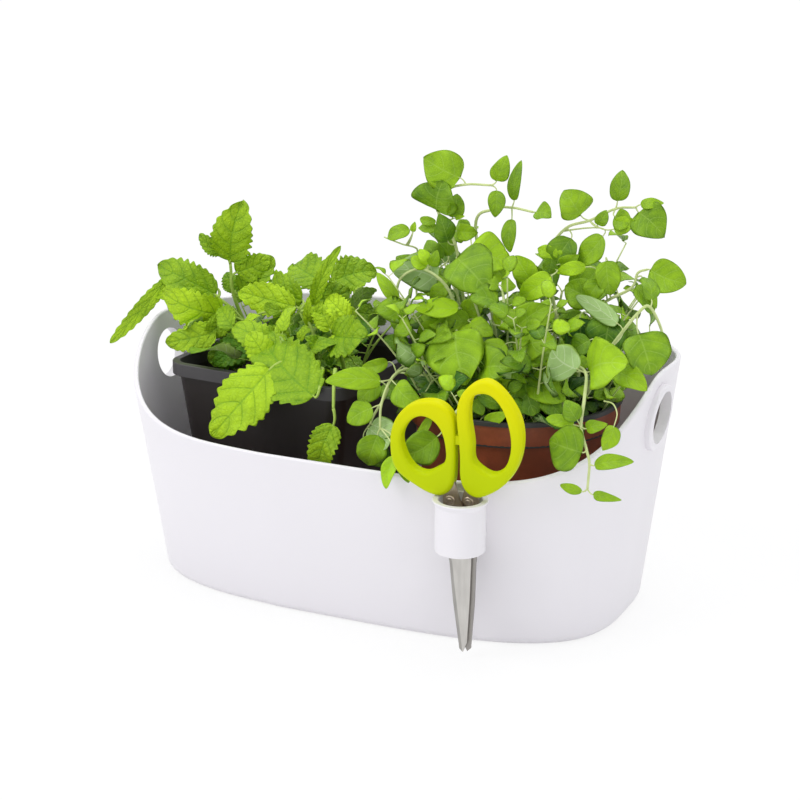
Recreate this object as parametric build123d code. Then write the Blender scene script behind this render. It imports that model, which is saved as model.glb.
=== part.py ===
from build123d import *
import os
from math import copysign, cos, pi, radians, sin

# Indoor herb planter: a long moulded tub with two handle ears, a sleeve with herb scissors,
# and two nursery pots, one with lemon balm and one with oregano.
# Millimetres, +Z up, +X along the tub, the sleeve on the -Y wall, origin at the middle of the underside.
os.makedirs("parts", exist_ok=True)

# Tub
tub_floor_length = 326.0
tub_floor_width = 178.0
tub_rim_length = 352.0
tub_rim_width = 218.0
tub_front_height = 114.0
tub_ear_height = 167.5
tub_back_drop = 5.0
tub_wall = 3.2
tub_floor = 3.5
tub_edge_radius = 7.0
tub_inner_radius = 5.0
rim_round = 1.3
rim_rise_start = 106.0
rim_back_start = 80.0
rim_front_curve_shares = (0.74, 0.38)
rim_back_curve_shares = (0.38, 0.62)
corner_power_share = 3.1
quarter_points = 9

# Hand holes in the two ears
hole_radius = 17.0
hole_drop = 29.5
hole_back = -3.0
collar_width = 4.5
collar_stand = 4.0
collar_round = 1.4

# Scissors, drawn upright with the point at the origin
scissors_length = 183.0
scissors_x = 94.0
scissors_y = -107.0
tip_height = 4.6
lean_angle = 5.0
blade_thickness = 1.6
blade_gap = 0.3
bevel_width = 2.4
handle_thickness = 9.0
handle_round_share = 0.0142
stop_height = 5.5
stop_depth = 5.0
stop_up_share = 0.78
stop_gap = 0.3
pivot_up_share = 0.448
pivot_radius = 2.5
pivot_play = 0.05
pivot_head_radius = 4.6
pivot_head_height = 1.3
washer_gap = 0.1

# Outlines of the scissors as shares of their length: across, up
blade_shares = [
    (-.006, 0), (.010, .038), (.024, .197), (.034, .353), (.040, .448), (.034, .505), (-.001, .561),
    (-.017, .623), (-.030, .655), (-.055, .650), (-.062, .600), (-.060, .530), (-.055, .448),
    (-.046, .339), (-.037, .186), (-.019, .013),
]
bevel_shares = [(-.019, .013), (-.037, .186), (-.046, .339)]
small_loop_shares = [
    (-.242, .754), (-.214, .836), (-.165, .885), (-.104, .906), (-.055, .900), (-.020, .867), (-.010, .809),
    (-.014, .666), (-.028, .606), (-.065, .576), (-.093, .575), (-.161, .601), (-.225, .647),
]
small_finger_shares = [
    (-.202, .760), (-.179, .813), (-.123, .848), (-.085, .837), (-.054, .795), (-.045, .751),
    (-.050, .697), (-.087, .666), (-.116, .651), (-.152, .656), (-.187, .694),
]
large_loop_shares = [
    (.091, 1), (.042, .972), (.008, .922), (-.001, .883), (.001, .810), (.005, .698), (.008, .634),
    (.025, .603), (.057, .587), (.092, .597), (.166, .654), (.202, .710), (.222, .779), (.215, .882),
    (.172, .955), (.128, .993),
]
large_finger_shares = [
    (.083, .953), (.055, .936), (.044, .903), (.045, .834), (.052, .765), (.056, .713), (.084, .689),
    (.115, .679), (.157, .703), (.179, .748), (.185, .798), (.177, .856), (.148, .924), (.117, .951),
]
stop_share = -.011
loop_bottom_share = .574

# Upright sleeve that holds the scissors
sleeve_radius = 15.4
sleeve_wall = 2.2
sleeve_height = 33.0
sleeve_lip_width = 1.6
sleeve_lip_height = 3.6
sleeve_lip_edge = 0.9
sleeve_rim_round = 0.7
sleeve_rest_gap = 0.8
sleeve_out = 1.0
saddle_width = 17.0
saddle_height = 25.0
seat_gap = 0.3

# Square nursery pot
square_pot_side = 138.0
square_pot_height = 143.5
square_pot_band = 8.5
square_pot_step = 3.6
square_pot_taper = 15.0
square_pot_corner = 15.0
square_pot_foot_corner = 9.0
square_pot_x = -76.0
square_pot_y = 10.0
square_pot_turn = -4.5

# Round nursery pot
round_pot_radius = 70.0
round_pot_height = 138.5
round_pot_band = 17.0
round_pot_band_taper = 0.8
round_pot_step = 3.4
round_pot_taper = 15.0
round_pot_lip = 1.2
round_pot_lip_height = 3.0
round_pot_x = 82.0
round_pot_y = 0.0

# What both pots have in common
pot_wall = 1.5
pot_round = 0.5
pot_floor_gap = 0.3
soil_gap = 0.2
soil_drop = 22.0
drain_radius = 4.0
drain_count = 4
drain_circle_share = 0.62
overrun = 20.0

# Herbs: places are shares of herb_reach from the middle of the soil's top
herb_reach = 100.0
stem_width = 2.4
petiole_width = 1.3
leaf_thickness = 0.9
petiole_sink = 2.0
leaf_facing_shares = (0.40, -0.87, 0.30)
balm_leaf_shares = [(0, .14), (.12, .68), (.32, 1), (.60, .80), (.85, .36), (1, .06)]
oregano_leaf_shares = [(0, .14), (.10, .62), (.30, .96), (.54, 1), (.78, .70), (.94, .30), (1, .10)]

# Each sprig: the points of its stem, then its leaves as stem point, base, tip, width
balm_shares = {
    "balm_sprig_tall": (
        [(-.40, .12, 0), (-.50, .08, .30), (-.58, .05, .54), (-.60, .05, .76)],
        [
            (3, (-.60, .05, .78), (-.47, 0, 1.21), .27),
            (3, (-.64, .03, .84), (-.76, -.08, .97), .10),
            (2, (-.56, .06, .70), (-.34, .14, .80), .17),
        ],
    ),
    "balm_sprig_left": (
        [(-.36, 0, 0), (-.43, -.02, .30), (-.50, -.08, .46), (-.60, -.13, .56)],
        [
            (3, (-.62, -.13, .58), (-1.06, -.19, .75), .24),
            (3, (-.66, -.15, .56), (-1.03, -.27, .58), .10),
            (3, (-.98, -.16, .66), (-1.32, -.40, .21), .13),
            (2, (-.54, -.20, .47), (-.90, -.38, .61), .24),
            (1, (-.50, -.34, .38), (-.83, -.47, .30), .18),
            (1, (-.36, -.18, .28), (-.54, -.38, .18), .20),
        ],
    ),
    "balm_sprig_middle": (
        [(.20, -.08, 0), (.18, -.12, .27), (.11, -.15, .42), (.04, -.15, .54)],
        [
            (3, (.02, -.16, .57), (-.46, -.12, .62), .20),
            (3, (.03, -.09, .60), (-.35, .10, .68), .22),
            (3, (.09, -.08, .60), (.31, .08, .66), .22),
            (3, (.14, -.14, .58), (.34, -.16, 1.00), .08),
        ],
    ),
    "balm_sprig_right": (
        [(.40, -.12, 0), (.38, -.20, .25), (.35, -.25, .42)],
        [
            (2, (.36, -.29, .44), (.66, -.46, .51), .26),
            (2, (.32, -.25, .46), (.19, -.22, .62), .14),
            (2, (.42, -.18, .54), (.24, -.14, .66), .14),
        ],
    ),
    "balm_sprig_front": (
        [(.28, -.30, 0), (.36, -.48, .24), (.46, -.64, .31), (.50, -.76, .24)],
        [
            (3, (.48, -.80, .18), (-.05, -.54, .48), .38),
            (2, (.12, -.72, .30), (-.19, -1.00, -.11), .32),
        ],
    ),
    "balm_sprig_hanging": (
        [(.40, -.38, 0), (.52, -.58, .30), (.59, -.74, .26), (.62, -.81, .12)],
        [
            (3, (.63, -.83, .02), (.53, -.89, -.30), .18),
        ],
    ),
    "balm_sprig_back": (
        [(-.10, .30, 0), (-.08, .36, .38), (-.05, .38, .58)],
        [
            (2, (-.07, .40, .61), (-.38, .56, .68), .26),
            (2, (0, .41, .61), (.28, .54, .70), .24),
            (1, (-.08, .44, .42), (-.08, .76, .46), .26),
            (1, (-.02, .42, .36), (.26, .64, .34), .20),
        ],
    ),
}
oregano_shares = {
    "oregano_sprig_tall_left": (
        [
            (-.20, .05, 0), (-.30, .05, .40), (-.40, .05, .83), (-.45, .05, 1.13),
            (-.57, .05, 1.33), (-.51, .05, 1.48), (-.38, .05, 1.53), (-.19, 0, 1.55),
        ],
        [
            (6, (-.42, .05, 1.57), (-.66, 0, 1.69), .24),
            (4, (-.58, .04, 1.35), (-.52, 0, 1.55), .28),
            (4, (-.47, .05, 1.31), (-.43, .04, 1.46), .10),
            (7, (-.15, 0, 1.52), (-.14, -.05, 1.36), .10),
            (7, (-.15, 0, 1.58), (-.08, 0, 1.74), .11),
            (3, (-.48, 0, 1.16), (-.51, -.05, 1.34), .13),
        ],
    ),
    "oregano_sprig_tall_arc": (
        [
            (-.12, .10, 0), (-.20, .12, .60), (-.34, .12, 1.24),
            (-.20, .08, 1.38), (-.06, .04, 1.41), (.11, -.03, 1.41),
        ],
        [
            (4, (-.04, .03, 1.46), (.01, 0, 1.71), .07),
            (4, (-.05, .02, 1.34), (-.04, -.04, 1.14), .08),
            (5, (.13, -.03, 1.41), (.24, -.05, 1.40), .11),
            (2, (-.38, .14, 1.22), (-.54, .20, 1.18), .14),
        ],
    ),
    "oregano_sprig_left": (
        [(-.28, .12, 0), (-.42, .16, .50), (-.50, .16, .84), (-.58, .18, .96)],
        [
            (3, (-.60, .18, .99), (-.73, .20, 1.10), .12),
            (3, (-.62, .16, .92), (-.66, .08, .76), .20),
            (3, (-.56, .20, 1.01), (-.62, .26, 1.22), .11),
            (2, (-.50, .22, .84), (-.44, .36, .92), .20),
        ],
    ),
    "oregano_sprig_centre": (
        [(-.08, -.05, 0), (-.16, -.14, .60), (-.30, -.18, 1.04)],
        [
            (2, (-.34, -.18, 1.10), (-.08, -.30, .95), .31),
            (2, (-.28, -.14, 1.12), (-.04, -.06, 1.08), .24),
            (1, (-.24, -.20, .70), (-.54, -.30, .74), .16),
        ],
    ),
    "oregano_sprig_front": (
        [(.02, -.22, 0), (-.06, -.36, .38), (-.20, -.42, .66)],
        [
            (2, (-.23, -.44, .70), (-.08, -.64, .43), .34),
            (1, (-.02, -.50, .50), (.20, -.62, .58), .22),
        ],
    ),
    "oregano_sprig_front_right": (
        [(.20, -.16, 0), (.20, -.30, .45), (.16, -.38, .72)],
        [
            (2, (.17, -.41, .76), (.38, -.46, .93), .16),
            (2, (.20, -.44, .66), (.44, -.50, .74), .20),
            (1, (.28, -.44, .44), (.54, -.56, .38), .18),
        ],
    ),
    "oregano_sprig_top_right": (
        [
            (.18, .06, 0), (.24, .08, .63), (.20, .10, .89), (.19, .10, 1.15),
            (.29, .10, 1.30), (.44, .10, 1.36), (.61, .10, 1.45), (.74, .10, 1.47),
        ],
        [
            (6, (.62, .10, 1.50), (.64, .10, 1.69), .11),
            (5, (.38, .10, 1.39), (.30, .05, 1.55), .21),
            (7, (.76, .10, 1.44), (.94, .05, 1.32), .21),
            (7, (.77, .10, 1.49), (.91, .10, 1.52), .06),
            (6, (.62, .06, 1.41), (.74, .04, 1.38), .12),
            (4, (.33, .08, 1.24), (.24, .03, 1.04), .16),
            (2, (.14, .08, .90), (.02, .02, 1.08), .16),
        ],
    ),
    "oregano_sprig_right": (
        [(.34, .08, 0), (.46, .04, .60), (.56, .02, .84), (.76, 0, .98), (.80, 0, 1.08), (.86, 0, 1.11)],
        [
            (5, (.88, 0, 1.11), (1.11, 0, 1.05), .19),
            (3, (.79, 0, 1.00), (.92, 0, .84), .10),
            (2, (.52, 0, .88), (.34, -.04, .96), .18),
            (1, (.54, -.04, .58), (.76, -.14, .64), .24),
        ],
    ),
    "oregano_sprig_hanging": (
        [
            (.38, -.22, 0), (.50, -.38, .50), (.68, -.58, .58), (.74, -.76, .47),
            (.76, -.86, .33), (.82, -.92, .21), (.85, -.95, .14), (.85, -.97, -.01),
        ],
        [
            (2, (.72, -.61, .60), (.95, -.68, .70), .28),
            (2, (.64, -.60, .60), (.48, -.66, .72), .22),
            (5, (.80, -.94, .20), (.60, -.98, .25), .26),
            (4, (.72, -.87, .34), (.55, -.90, .37), .07),
            (4, (.74, -.87, .37), (.67, -.88, .49), .11),
            (4, (.80, -.88, .33), (.93, -.91, .38), .07),
            (6, (.89, -.97, .14), (1.12, -1.00, .21), .08),
            (7, (.82, -.98, -.03), (.69, -1.01, 0), .05),
            (7, (.89, -.98, -.04), (1.06, -1.01, -.04), .05),
        ],
    ),
    "oregano_sprig_over_ear": (
        [
            (.44, -.08, 0), (.62, -.24, .50), (.78, -.36, .72), (.92, -.34, .92),
            (.98, -.29, .95), (1.04, -.21, .76), (.96, -.13, .64),
        ],
        [
            (3, (.94, -.38, .80), (1.06, -.46, .58), .27),
            (2, (.84, -.48, .58), (1.06, -.58, .54), .13),
            (4, (.98, -.27, .99), (.90, -.19, 1.12), .10),
        ],
    ),
    "oregano_sprig_front_left": (
        [
            (-.22, -.30, 0), (-.36, -.45, .44), (-.50, -.60, .46),
            (-.55, -.72, .42), (-.57, -.82, .28), (-.56, -.86, .14),
        ],
        [
            (3, (-.59, -.78, .42), (-.90, -.94, .42), .12),
            (3, (-.50, -.75, .40), (-.32, -.80, .30), .14),
            (4, (-.62, -.84, .26), (-.78, -.88, .15), .13),
            (5, (-.57, -.88, .10), (-.63, -.92, -.10), .17),
        ],
    ),
    "oregano_sprig_low": (
        [(.04, -.36, 0), (0, -.56, .34), (-.06, -.74, .32), (-.14, -.84, .18)],
        [
            (3, (-.17, -.86, .14), (-.37, -.90, 0), .19),
        ],
    ),
    "oregano_sprig_back": (
        [(.08, .30, 0), (.12, .36, .46), (.16, .40, .80)],
        [
            (2, (.20, .42, .83), (.46, .54, .90), .23),
            (2, (.12, .42, .84), (-.10, .56, .92), .23),
            (1, (.14, .42, .50), (.30, .68, .54), .22),
            (1, (.06, .40, .48), (-.16, .62, .54), .22),
        ],
    ),
}

lower_middle = (Align.CENTER, Align.CENTER, Align.MIN)
upper_middle = (Align.CENTER, Align.CENTER, Align.MAX)
square_place = Location((square_pot_x, square_pot_y, tub_floor + pot_floor_gap), (0, 0, square_pot_turn))
round_place = Location((round_pot_x, round_pot_y, tub_floor + pot_floor_gap))
scissors_place = Location((scissors_x, scissors_y, tip_height), (lean_angle, 0, 0))
loop_bottom = loop_bottom_share * scissors_length
sleeve_y = scissors_y - loop_bottom * sin(radians(lean_angle)) - sleeve_out
sleeve_foot = tip_height + loop_bottom * cos(radians(lean_angle)) - sleeve_rest_gap - sleeve_height
pivot_up = pivot_up_share * scissors_length
handle_round = handle_round_share * scissors_length
tub_back_height = tub_ear_height - tub_back_drop
hole_height = tub_ear_height - hole_drop


def plan_face(half_length, half_width, height):
    """Soft-cornered tub plan of the given half sizes: four splines that meet on the two axes."""
    power = 2 / corner_power_share
    steps = [pi / 2 * i / (quarter_points - 1) for i in range(quarter_points)]
    edges = []
    for quarter in range(4):
        start = quarter * pi / 2
        points = []
        for step in steps:
            across = round(cos(start + step), 9)
            along = round(sin(start + step), 9)
            x = half_length * copysign(abs(across) ** power, across)
            y = half_width * copysign(abs(along) ** power, along)
            points.append(Vector(x, y, height))
        tangents = [Vector(-sin(start), cos(start), 0), Vector(-cos(start), -sin(start), 0)]
        edges.append(Edge.make_spline(points, tangents=tangents))
    return Face(Wire(edges))


def tub_form(low, high, inset):
    """Straight-sided tub form between two heights, smaller than the tub's outside by the inset."""
    faces = []
    for height in (low, high):
        rise = height / tub_front_height
        length = tub_floor_length + (tub_rim_length - tub_floor_length) * rise
        width = tub_floor_width + (tub_rim_width - tub_floor_width) * rise
        faces.append(plan_face(length / 2 - inset, width / 2 - inset, height))
    return loft(faces, ruled=True)


def above_rim():
    """Everything above the swept rim line, which is the same all along X."""
    reach = tub_rim_width / 2 + overrun
    top = tub_ear_height + overrun
    front = tub_front_height
    first, second = rim_front_curve_shares
    third, fourth = rim_back_curve_shares
    with BuildPart() as cut:
        with BuildSketch(Plane.YZ):
            with BuildLine():
                Line((-reach, front), (-rim_rise_start, front))
                Bezier(
                    (-rim_rise_start, front),
                    (-rim_rise_start * first, front),
                    (-rim_rise_start * second, tub_ear_height),
                    (0, tub_ear_height),
                )
                Bezier(
                    (0, tub_ear_height),
                    (rim_back_start * third, tub_ear_height),
                    (rim_back_start * fourth, tub_back_height),
                    (rim_back_start, tub_back_height),
                )
                Line((rim_back_start, tub_back_height), (reach, tub_back_height))
                Polyline((reach, tub_back_height), (reach, top), (-reach, top), (-reach, front))
            make_face()
        extrude(amount=tub_rim_length, both=True)
    return cut.part


def planter_tub():
    """The tub with its swept rim, and a raised ring round the hand hole in each ear."""
    top = tub_ear_height + overrun
    outside = tub_form(0, top, 0)
    outside = fillet(outside.edges().group_by(Axis.Z)[0], tub_edge_radius)
    inside = tub_form(tub_floor, top + overrun, tub_wall)
    inside = fillet(inside.edges().group_by(Axis.Z)[0], tub_inner_radius)
    tub = outside - inside - above_rim()
    rim = [
        edge for edge in tub.edges()
        if edge.bounding_box().min.Z > tub_front_height - rim_round and edge.length > tub_wall * 2
    ]
    tub = fillet(rim, rim_round)
    hole_line = Location((0, hole_back, hole_height), (0, 90, 0))
    ring = hole_line * Cylinder(hole_radius + collar_width, tub_rim_length + overrun * 2)
    ring = ring & tub_form(0, top, -collar_stand)
    outer_edges = [edge for edge in ring.edges() if edge.is_closed or edge.length > hole_radius]
    ring = fillet(outer_edges, collar_round)
    tub = tub + (ring - inside)
    return tub - hole_line * Cylinder(hole_radius, tub_rim_length + overrun * 2)


def scissors_holder():
    """Sleeve with a flared lip, joined by a pad that seats on the front wall."""
    inner = sleeve_radius - sleeve_wall
    lip = sleeve_radius + sleeve_lip_width
    lip_foot = sleeve_height - sleeve_lip_height
    lip_edge = sleeve_height - sleeve_lip_edge
    profile = Polyline(
        (inner, 0), (sleeve_radius, 0), (sleeve_radius, lip_foot), (lip, lip_edge),
        (lip, sleeve_height), (inner, sleeve_height), (inner, 0),
    )
    sleeve = revolve(Plane.XZ * make_face(profile), Axis.Z)
    rims = sleeve.edges().group_by(Axis.Z)
    sleeve = fillet(rims[0] + rims[-1], sleeve_rim_round)
    pad = Location((0, 0, (sleeve_height - saddle_height) / 2)) * Box(
        saddle_width, sleeve_radius + overrun, saddle_height, align=(Align.CENTER, Align.MIN, Align.MIN)
    )
    bore = Cylinder(inner, sleeve_height, align=lower_middle)
    holder = Location((scissors_x, sleeve_y, sleeve_foot)) * (sleeve + (pad - bore))
    return holder - tub_form(0, tub_ear_height + overrun, -seat_gap)


def outline(shares, side=1):
    """Points of an outline given in shares of the scissors' length; side -1 mirrors it."""
    return [(side * x * scissors_length, up * scissors_length) for x, up in shares]


def upright(sketch, depth):
    """Extrude a sketch drawn across and up to the given depth on each side of the scissors' plane."""
    return extrude(Plane.XZ * sketch, amount=depth, both=True)


def blade(side):
    """One blade with its shank, the front one at side 1, mirrored and turned over at side -1."""
    middle = side * (blade_gap + blade_thickness) / 2
    face = make_face(Polyline(*outline(blade_shares, side), close=True))
    plate = Location((0, -middle, 0)) * upright(face, blade_thickness / 2)
    edge = outline(bevel_shares, side)
    inward = [(x + side * bevel_width * up / edge[-1][1], up) for x, up in edge]
    ground = make_face(Polyline(*edge, *reversed(inward), close=True))
    skin = upright(ground, blade_thickness / 4)
    plate -= Location((0, -middle - side * blade_thickness / 2, 0)) * skin
    hole = Location((0, 0, pivot_up), (90, 0, 0)) * Cylinder(pivot_radius + pivot_play, handle_thickness)
    return plate - hole


def handle(loop_shares, finger_shares, shank):
    """Moulded finger loop with rounded edges, with a socket that fits the blade's shank."""
    loop = make_face(Spline(*outline(loop_shares), periodic=True))
    finger = make_face(Spline(*outline(finger_shares), periodic=True))
    ring = upright(loop - finger, handle_thickness / 2)
    edges = [edge for edge in ring.edges() if edge.length > handle_thickness * 2]
    return fillet(edges, handle_round) - shank


def handle_large(shank):
    """The large loop, with the stop that meets the small loop when the scissors close."""
    ring = handle(large_loop_shares, large_finger_shares, shank)
    start = stop_share * scissors_length + stop_gap
    stop = Location((start, 0, stop_up_share * scissors_length)) * Box(
        handle_round - start, stop_depth, stop_height, align=(Align.MIN, Align.CENTER, Align.CENTER)
    )
    return ring + stop


def pivot_stack():
    """Half the height of what the pivot holds together."""
    return blade_gap / 2 + blade_thickness + washer_gap


def pivot_screw():
    """Screw from the front: a rounded head and a plain shaft that ends flush with the nut."""
    turned = Location((0, 0, pivot_up), (90, 0, 0))
    half = pivot_stack()
    head = Location((0, 0, half)) * Cylinder(pivot_head_radius, pivot_head_height, align=lower_middle)
    head = fillet(head.edges().group_by(Axis.Z)[-1], pivot_head_height / 2)
    shaft = Location((0, 0, -half - pivot_head_height)) * Cylinder(
        pivot_radius, half * 2 + pivot_head_height, align=lower_middle
    )
    return turned * (head + shaft)


def pivot_nut():
    """Ring nut behind the blades."""
    turned = Location((0, 0, pivot_up), (90, 0, 0))
    lower = Location((0, 0, -pivot_stack() - pivot_head_height))
    ring = lower * Cylinder(pivot_head_radius, pivot_head_height, align=lower_middle)
    bore = lower * Cylinder(pivot_radius + pivot_play, pivot_head_height, align=lower_middle)
    return turned * (ring - bore)


def square_side(height):
    """Outer side of the square pot's body at a height above its foot."""
    top = square_pot_side - square_pot_step * 2
    return top - square_pot_taper * 2 * (1 - height / square_pot_height)


def square_form(low, high, inset):
    """The square pot's tapered form between two heights, smaller all round by the inset."""
    faces = []
    for height in (low, high):
        rise = height / square_pot_height
        upper_corner = square_pot_corner - square_pot_step
        corner = square_pot_foot_corner + (upper_corner - square_pot_foot_corner) * rise - inset
        side = square_side(height) - inset * 2
        faces.append(Location((0, 0, height)) * RectangleRounded(side, side, corner))
    return loft(faces, ruled=True)


def drains(circle_radius):
    """Round drain holes evenly spaced in a pot's floor."""
    return PolarLocations(circle_radius, drain_count) * Cylinder(drain_radius, pot_wall + overrun)


def square_pot():
    """Thin-walled pot with a turned-down rim and drain holes."""
    skirt = Location((0, 0, square_pot_height - square_pot_band)) * extrude(
        RectangleRounded(square_pot_side, square_pot_side, square_pot_corner), square_pot_band
    )
    under_side = square_pot_side - pot_wall * 2
    under = Location((0, 0, square_pot_height - square_pot_band)) * extrude(
        RectangleRounded(under_side, under_side, square_pot_corner - pot_wall), square_pot_band - pot_wall
    )
    pot = (skirt - under) + square_form(0, square_pot_height, 0)
    pot -= square_form(pot_wall, square_pot_height + overrun, pot_wall)
    pot = fillet(pot.edges().group_by(Axis.Z)[-1], pot_round)
    holes = drains(square_side(0) / 2 * drain_circle_share)
    return square_place * (pot - holes)


def square_soil():
    """Growing medium that fills the square pot below its rim."""
    floor = pot_wall + soil_gap
    return square_place * square_form(floor, square_pot_height - soil_drop, floor)


def round_radius(height):
    """Outer radius of the round pot's body at a height above its foot, below the band."""
    shoulder = round_pot_radius - round_pot_lip - round_pot_band_taper - round_pot_step
    rise = height / (round_pot_height - round_pot_band)
    return shoulder - round_pot_taper * (1 - rise)


def round_pot():
    """Thin-walled pot of revolution with a stepped band, a lip and drain holes."""
    band_low = round_pot_height - round_pot_band
    band_top = round_pot_radius - round_pot_lip
    band_foot = band_top - round_pot_band_taper
    lip_low = round_pot_height - round_pot_lip_height
    ledge = band_low + pot_wall
    profile = Polyline(
        (0, 0), (round_radius(0), 0), (round_radius(band_low), band_low), (band_foot, band_low),
        (band_top, lip_low), (round_pot_radius, lip_low), (round_pot_radius, round_pot_height),
        (band_top - pot_wall, round_pot_height), (band_foot - pot_wall, ledge),
        (round_radius(ledge) - pot_wall, ledge), (round_radius(pot_wall) - pot_wall, pot_wall),
        (0, pot_wall), (0, 0),
    )
    pot = revolve(Plane.XZ * make_face(profile), Axis.Z)
    pot = fillet(pot.edges().group_by(Axis.Z)[-1], pot_round)
    return round_place * (pot - drains(round_radius(0) * drain_circle_share))


def round_soil():
    """Growing medium that fills the round pot below its band."""
    floor = pot_wall + soil_gap
    top = round_pot_height - soil_drop
    plug = Cone(round_radius(floor) - floor, round_radius(top) - floor, top - floor, align=lower_middle)
    return round_place * Location((0, 0, floor)) * plug


def bar(start, end, width):
    """Square bar between two points, run past both by half its width."""
    along = end - start
    frame = Plane(origin=start - along.normalized() * width / 2, z_dir=along)
    return frame * Box(width, width, along.length + width, align=lower_middle)


def leaf(base, tip, width, edge_shares):
    """Thin leaf from its base to its tip, its face turned to the light in front and above."""
    along = tip - base
    normal = along.cross(Vector(*leaf_facing_shares)).cross(along)
    right = [(x * along.length, y * width / 2) for x, y in edge_shares]
    left = [(x, -y) for x, y in reversed(right)]
    face = make_face(Polyline(*right, *left, close=True))
    return Plane(origin=base, x_dir=along, z_dir=normal) * extrude(face, leaf_thickness / 2, both=True)


def sprig(stem_shares, leaf_rows, edge_shares, origin):
    """One sprig: a square stem, cut level with the soil, whose leaves stand on short stalks."""
    stem = [origin + Vector(*point) * herb_reach for point in stem_shares]
    solids = [bar(start, end, stem_width) for start, end in zip(stem, stem[1:])]
    for index, base_share, tip_share, width_share in leaf_rows:
        base = origin + Vector(*base_share) * herb_reach
        tip = origin + Vector(*tip_share) * herb_reach
        solids.append(leaf(base, tip, width_share * herb_reach, edge_shares))
        solids.append(bar(stem[index], base + (tip - base).normalized() * petiole_sink, petiole_width))
    below = Box(herb_reach, herb_reach, overrun, align=upper_middle)
    return Part() + solids - Location(origin) * below


def build_parts():
    """Every piece of the planter by its node name."""
    front = blade(1)
    back = blade(-1)
    pieces = {
        "planter_tub": planter_tub(),
        "scissors_holder": scissors_holder(),
        "blade_front": scissors_place * front,
        "blade_back": scissors_place * back,
        "handle_small": scissors_place * handle(small_loop_shares, small_finger_shares, front),
        "handle_large": scissors_place * handle_large(back),
        "pivot_screw": scissors_place * pivot_screw(),
        "pivot_nut": scissors_place * pivot_nut(),
        "square_pot": square_pot(),
        "square_pot_soil": square_soil(),
        "round_pot": round_pot(),
        "round_pot_soil": round_soil(),
    }
    floor = tub_floor + pot_floor_gap
    balm_origin = Vector(square_pot_x, square_pot_y, floor + square_pot_height - soil_drop)
    for name, (stem, leaves) in balm_shares.items():
        pieces[name] = sprig(stem, leaves, balm_leaf_shares, balm_origin)
    oregano_origin = Vector(round_pot_x, round_pot_y, floor + round_pot_height - soil_drop)
    for name, (stem, leaves) in oregano_shares.items():
        pieces[name] = sprig(stem, leaves, oregano_leaf_shares, oregano_origin)
    return pieces


for node, piece in build_parts().items():
    export_step(piece, "parts/" + node + ".step")
    print(node, len(piece.solids()), round(piece.volume))
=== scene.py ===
"""Dresses the indoor herb planter: white tub, herb scissors, two nursery pots, lemon balm and oregano."""
import logging
import math
from dataclasses import dataclass, field, replace
from enum import Enum
from types import MappingProxyType
from typing import Any, Iterable, Mapping, Optional, Sequence, Union

import bpy
import numpy as np
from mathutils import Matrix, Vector


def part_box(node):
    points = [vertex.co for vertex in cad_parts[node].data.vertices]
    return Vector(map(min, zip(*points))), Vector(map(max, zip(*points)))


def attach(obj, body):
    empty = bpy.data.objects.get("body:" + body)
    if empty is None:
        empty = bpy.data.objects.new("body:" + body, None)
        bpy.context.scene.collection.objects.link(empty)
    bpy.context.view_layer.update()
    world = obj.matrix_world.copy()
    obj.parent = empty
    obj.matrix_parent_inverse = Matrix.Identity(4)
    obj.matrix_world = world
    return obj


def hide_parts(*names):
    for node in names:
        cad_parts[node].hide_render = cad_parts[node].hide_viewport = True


LOG = logging.getLogger("planter")
MM = 0.001
REACH = 0.1
GOLDEN_TURN = 2.39996
FULL_TURN = 2 * math.pi
MAP_NAME = "Leaf"
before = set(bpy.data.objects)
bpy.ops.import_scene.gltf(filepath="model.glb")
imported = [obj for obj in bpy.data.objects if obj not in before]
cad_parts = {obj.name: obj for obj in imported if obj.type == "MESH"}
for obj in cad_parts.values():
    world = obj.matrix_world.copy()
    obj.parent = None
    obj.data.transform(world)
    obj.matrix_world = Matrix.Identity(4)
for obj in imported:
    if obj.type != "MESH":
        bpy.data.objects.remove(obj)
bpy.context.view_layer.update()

Number = Union[int, float]
Point = Sequence[float]
Colour = tuple[float, float, float]


class Herb(Enum):
    """The two herbs, by the word that their nodes and slots start with."""

    BALM = "balm"
    OREGANO = "oregano"


@dataclass(frozen=True)
class PhotoCamera:
    """Camera of the photograph, and the places that its pixels point at."""

    azimuth: float = 24.82
    elevation: float = 17.35
    distance: float = 1.3173
    target: Point = (-0.0001, 0.0, 0.12484)
    focal_pixels: float = 1973.6
    image_pixels: float = 800.0
    sensor: float = 36.0

    def axes(self) -> tuple[np.ndarray, np.ndarray, np.ndarray]:
        """Unit vectors to the right of the camera, up and back."""
        a, e = math.radians(self.azimuth), math.radians(self.elevation)
        right = np.array([math.cos(a), math.sin(a), 0.0])
        back = np.array([math.sin(a) * math.cos(e), -math.cos(a) * math.cos(e), math.sin(e)])
        return right, np.cross(back, right), back

    def sight(self, pixel: Point, depth: float) -> np.ndarray:
        """Where the ray through a pixel meets an upright plane.

        Args:
            pixel: column and row in the photograph.
            depth: the plane's Y in metres.

        Returns:
            The place in the frame.
        """
        right, up, back = self.axes()
        middle = self.image_pixels / 2
        ray = right * (pixel[0] - middle) + up * (middle - pixel[1]) - back * self.focal_pixels
        start = np.array(self.target) + back * self.distance
        return start + ray * ((depth - start[1]) / ray[1])

    def build(self) -> None:
        """Make it the scene's camera."""
        data = bpy.data.cameras.new("camera")
        data.sensor_width = self.sensor
        data.lens = self.focal_pixels * self.sensor / self.image_pixels
        camera = bpy.data.objects.new("camera", data)
        back = Vector(self.axes()[2])
        camera.location = Vector(self.target) + back * self.distance
        camera.rotation_mode = "QUATERNION"
        camera.rotation_quaternion = (-back).to_track_quat("-Z", "Y")
        bpy.context.scene.collection.objects.link(camera)
        bpy.context.scene.camera = camera


CAMERA = PhotoCamera()


# Shader graph


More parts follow.
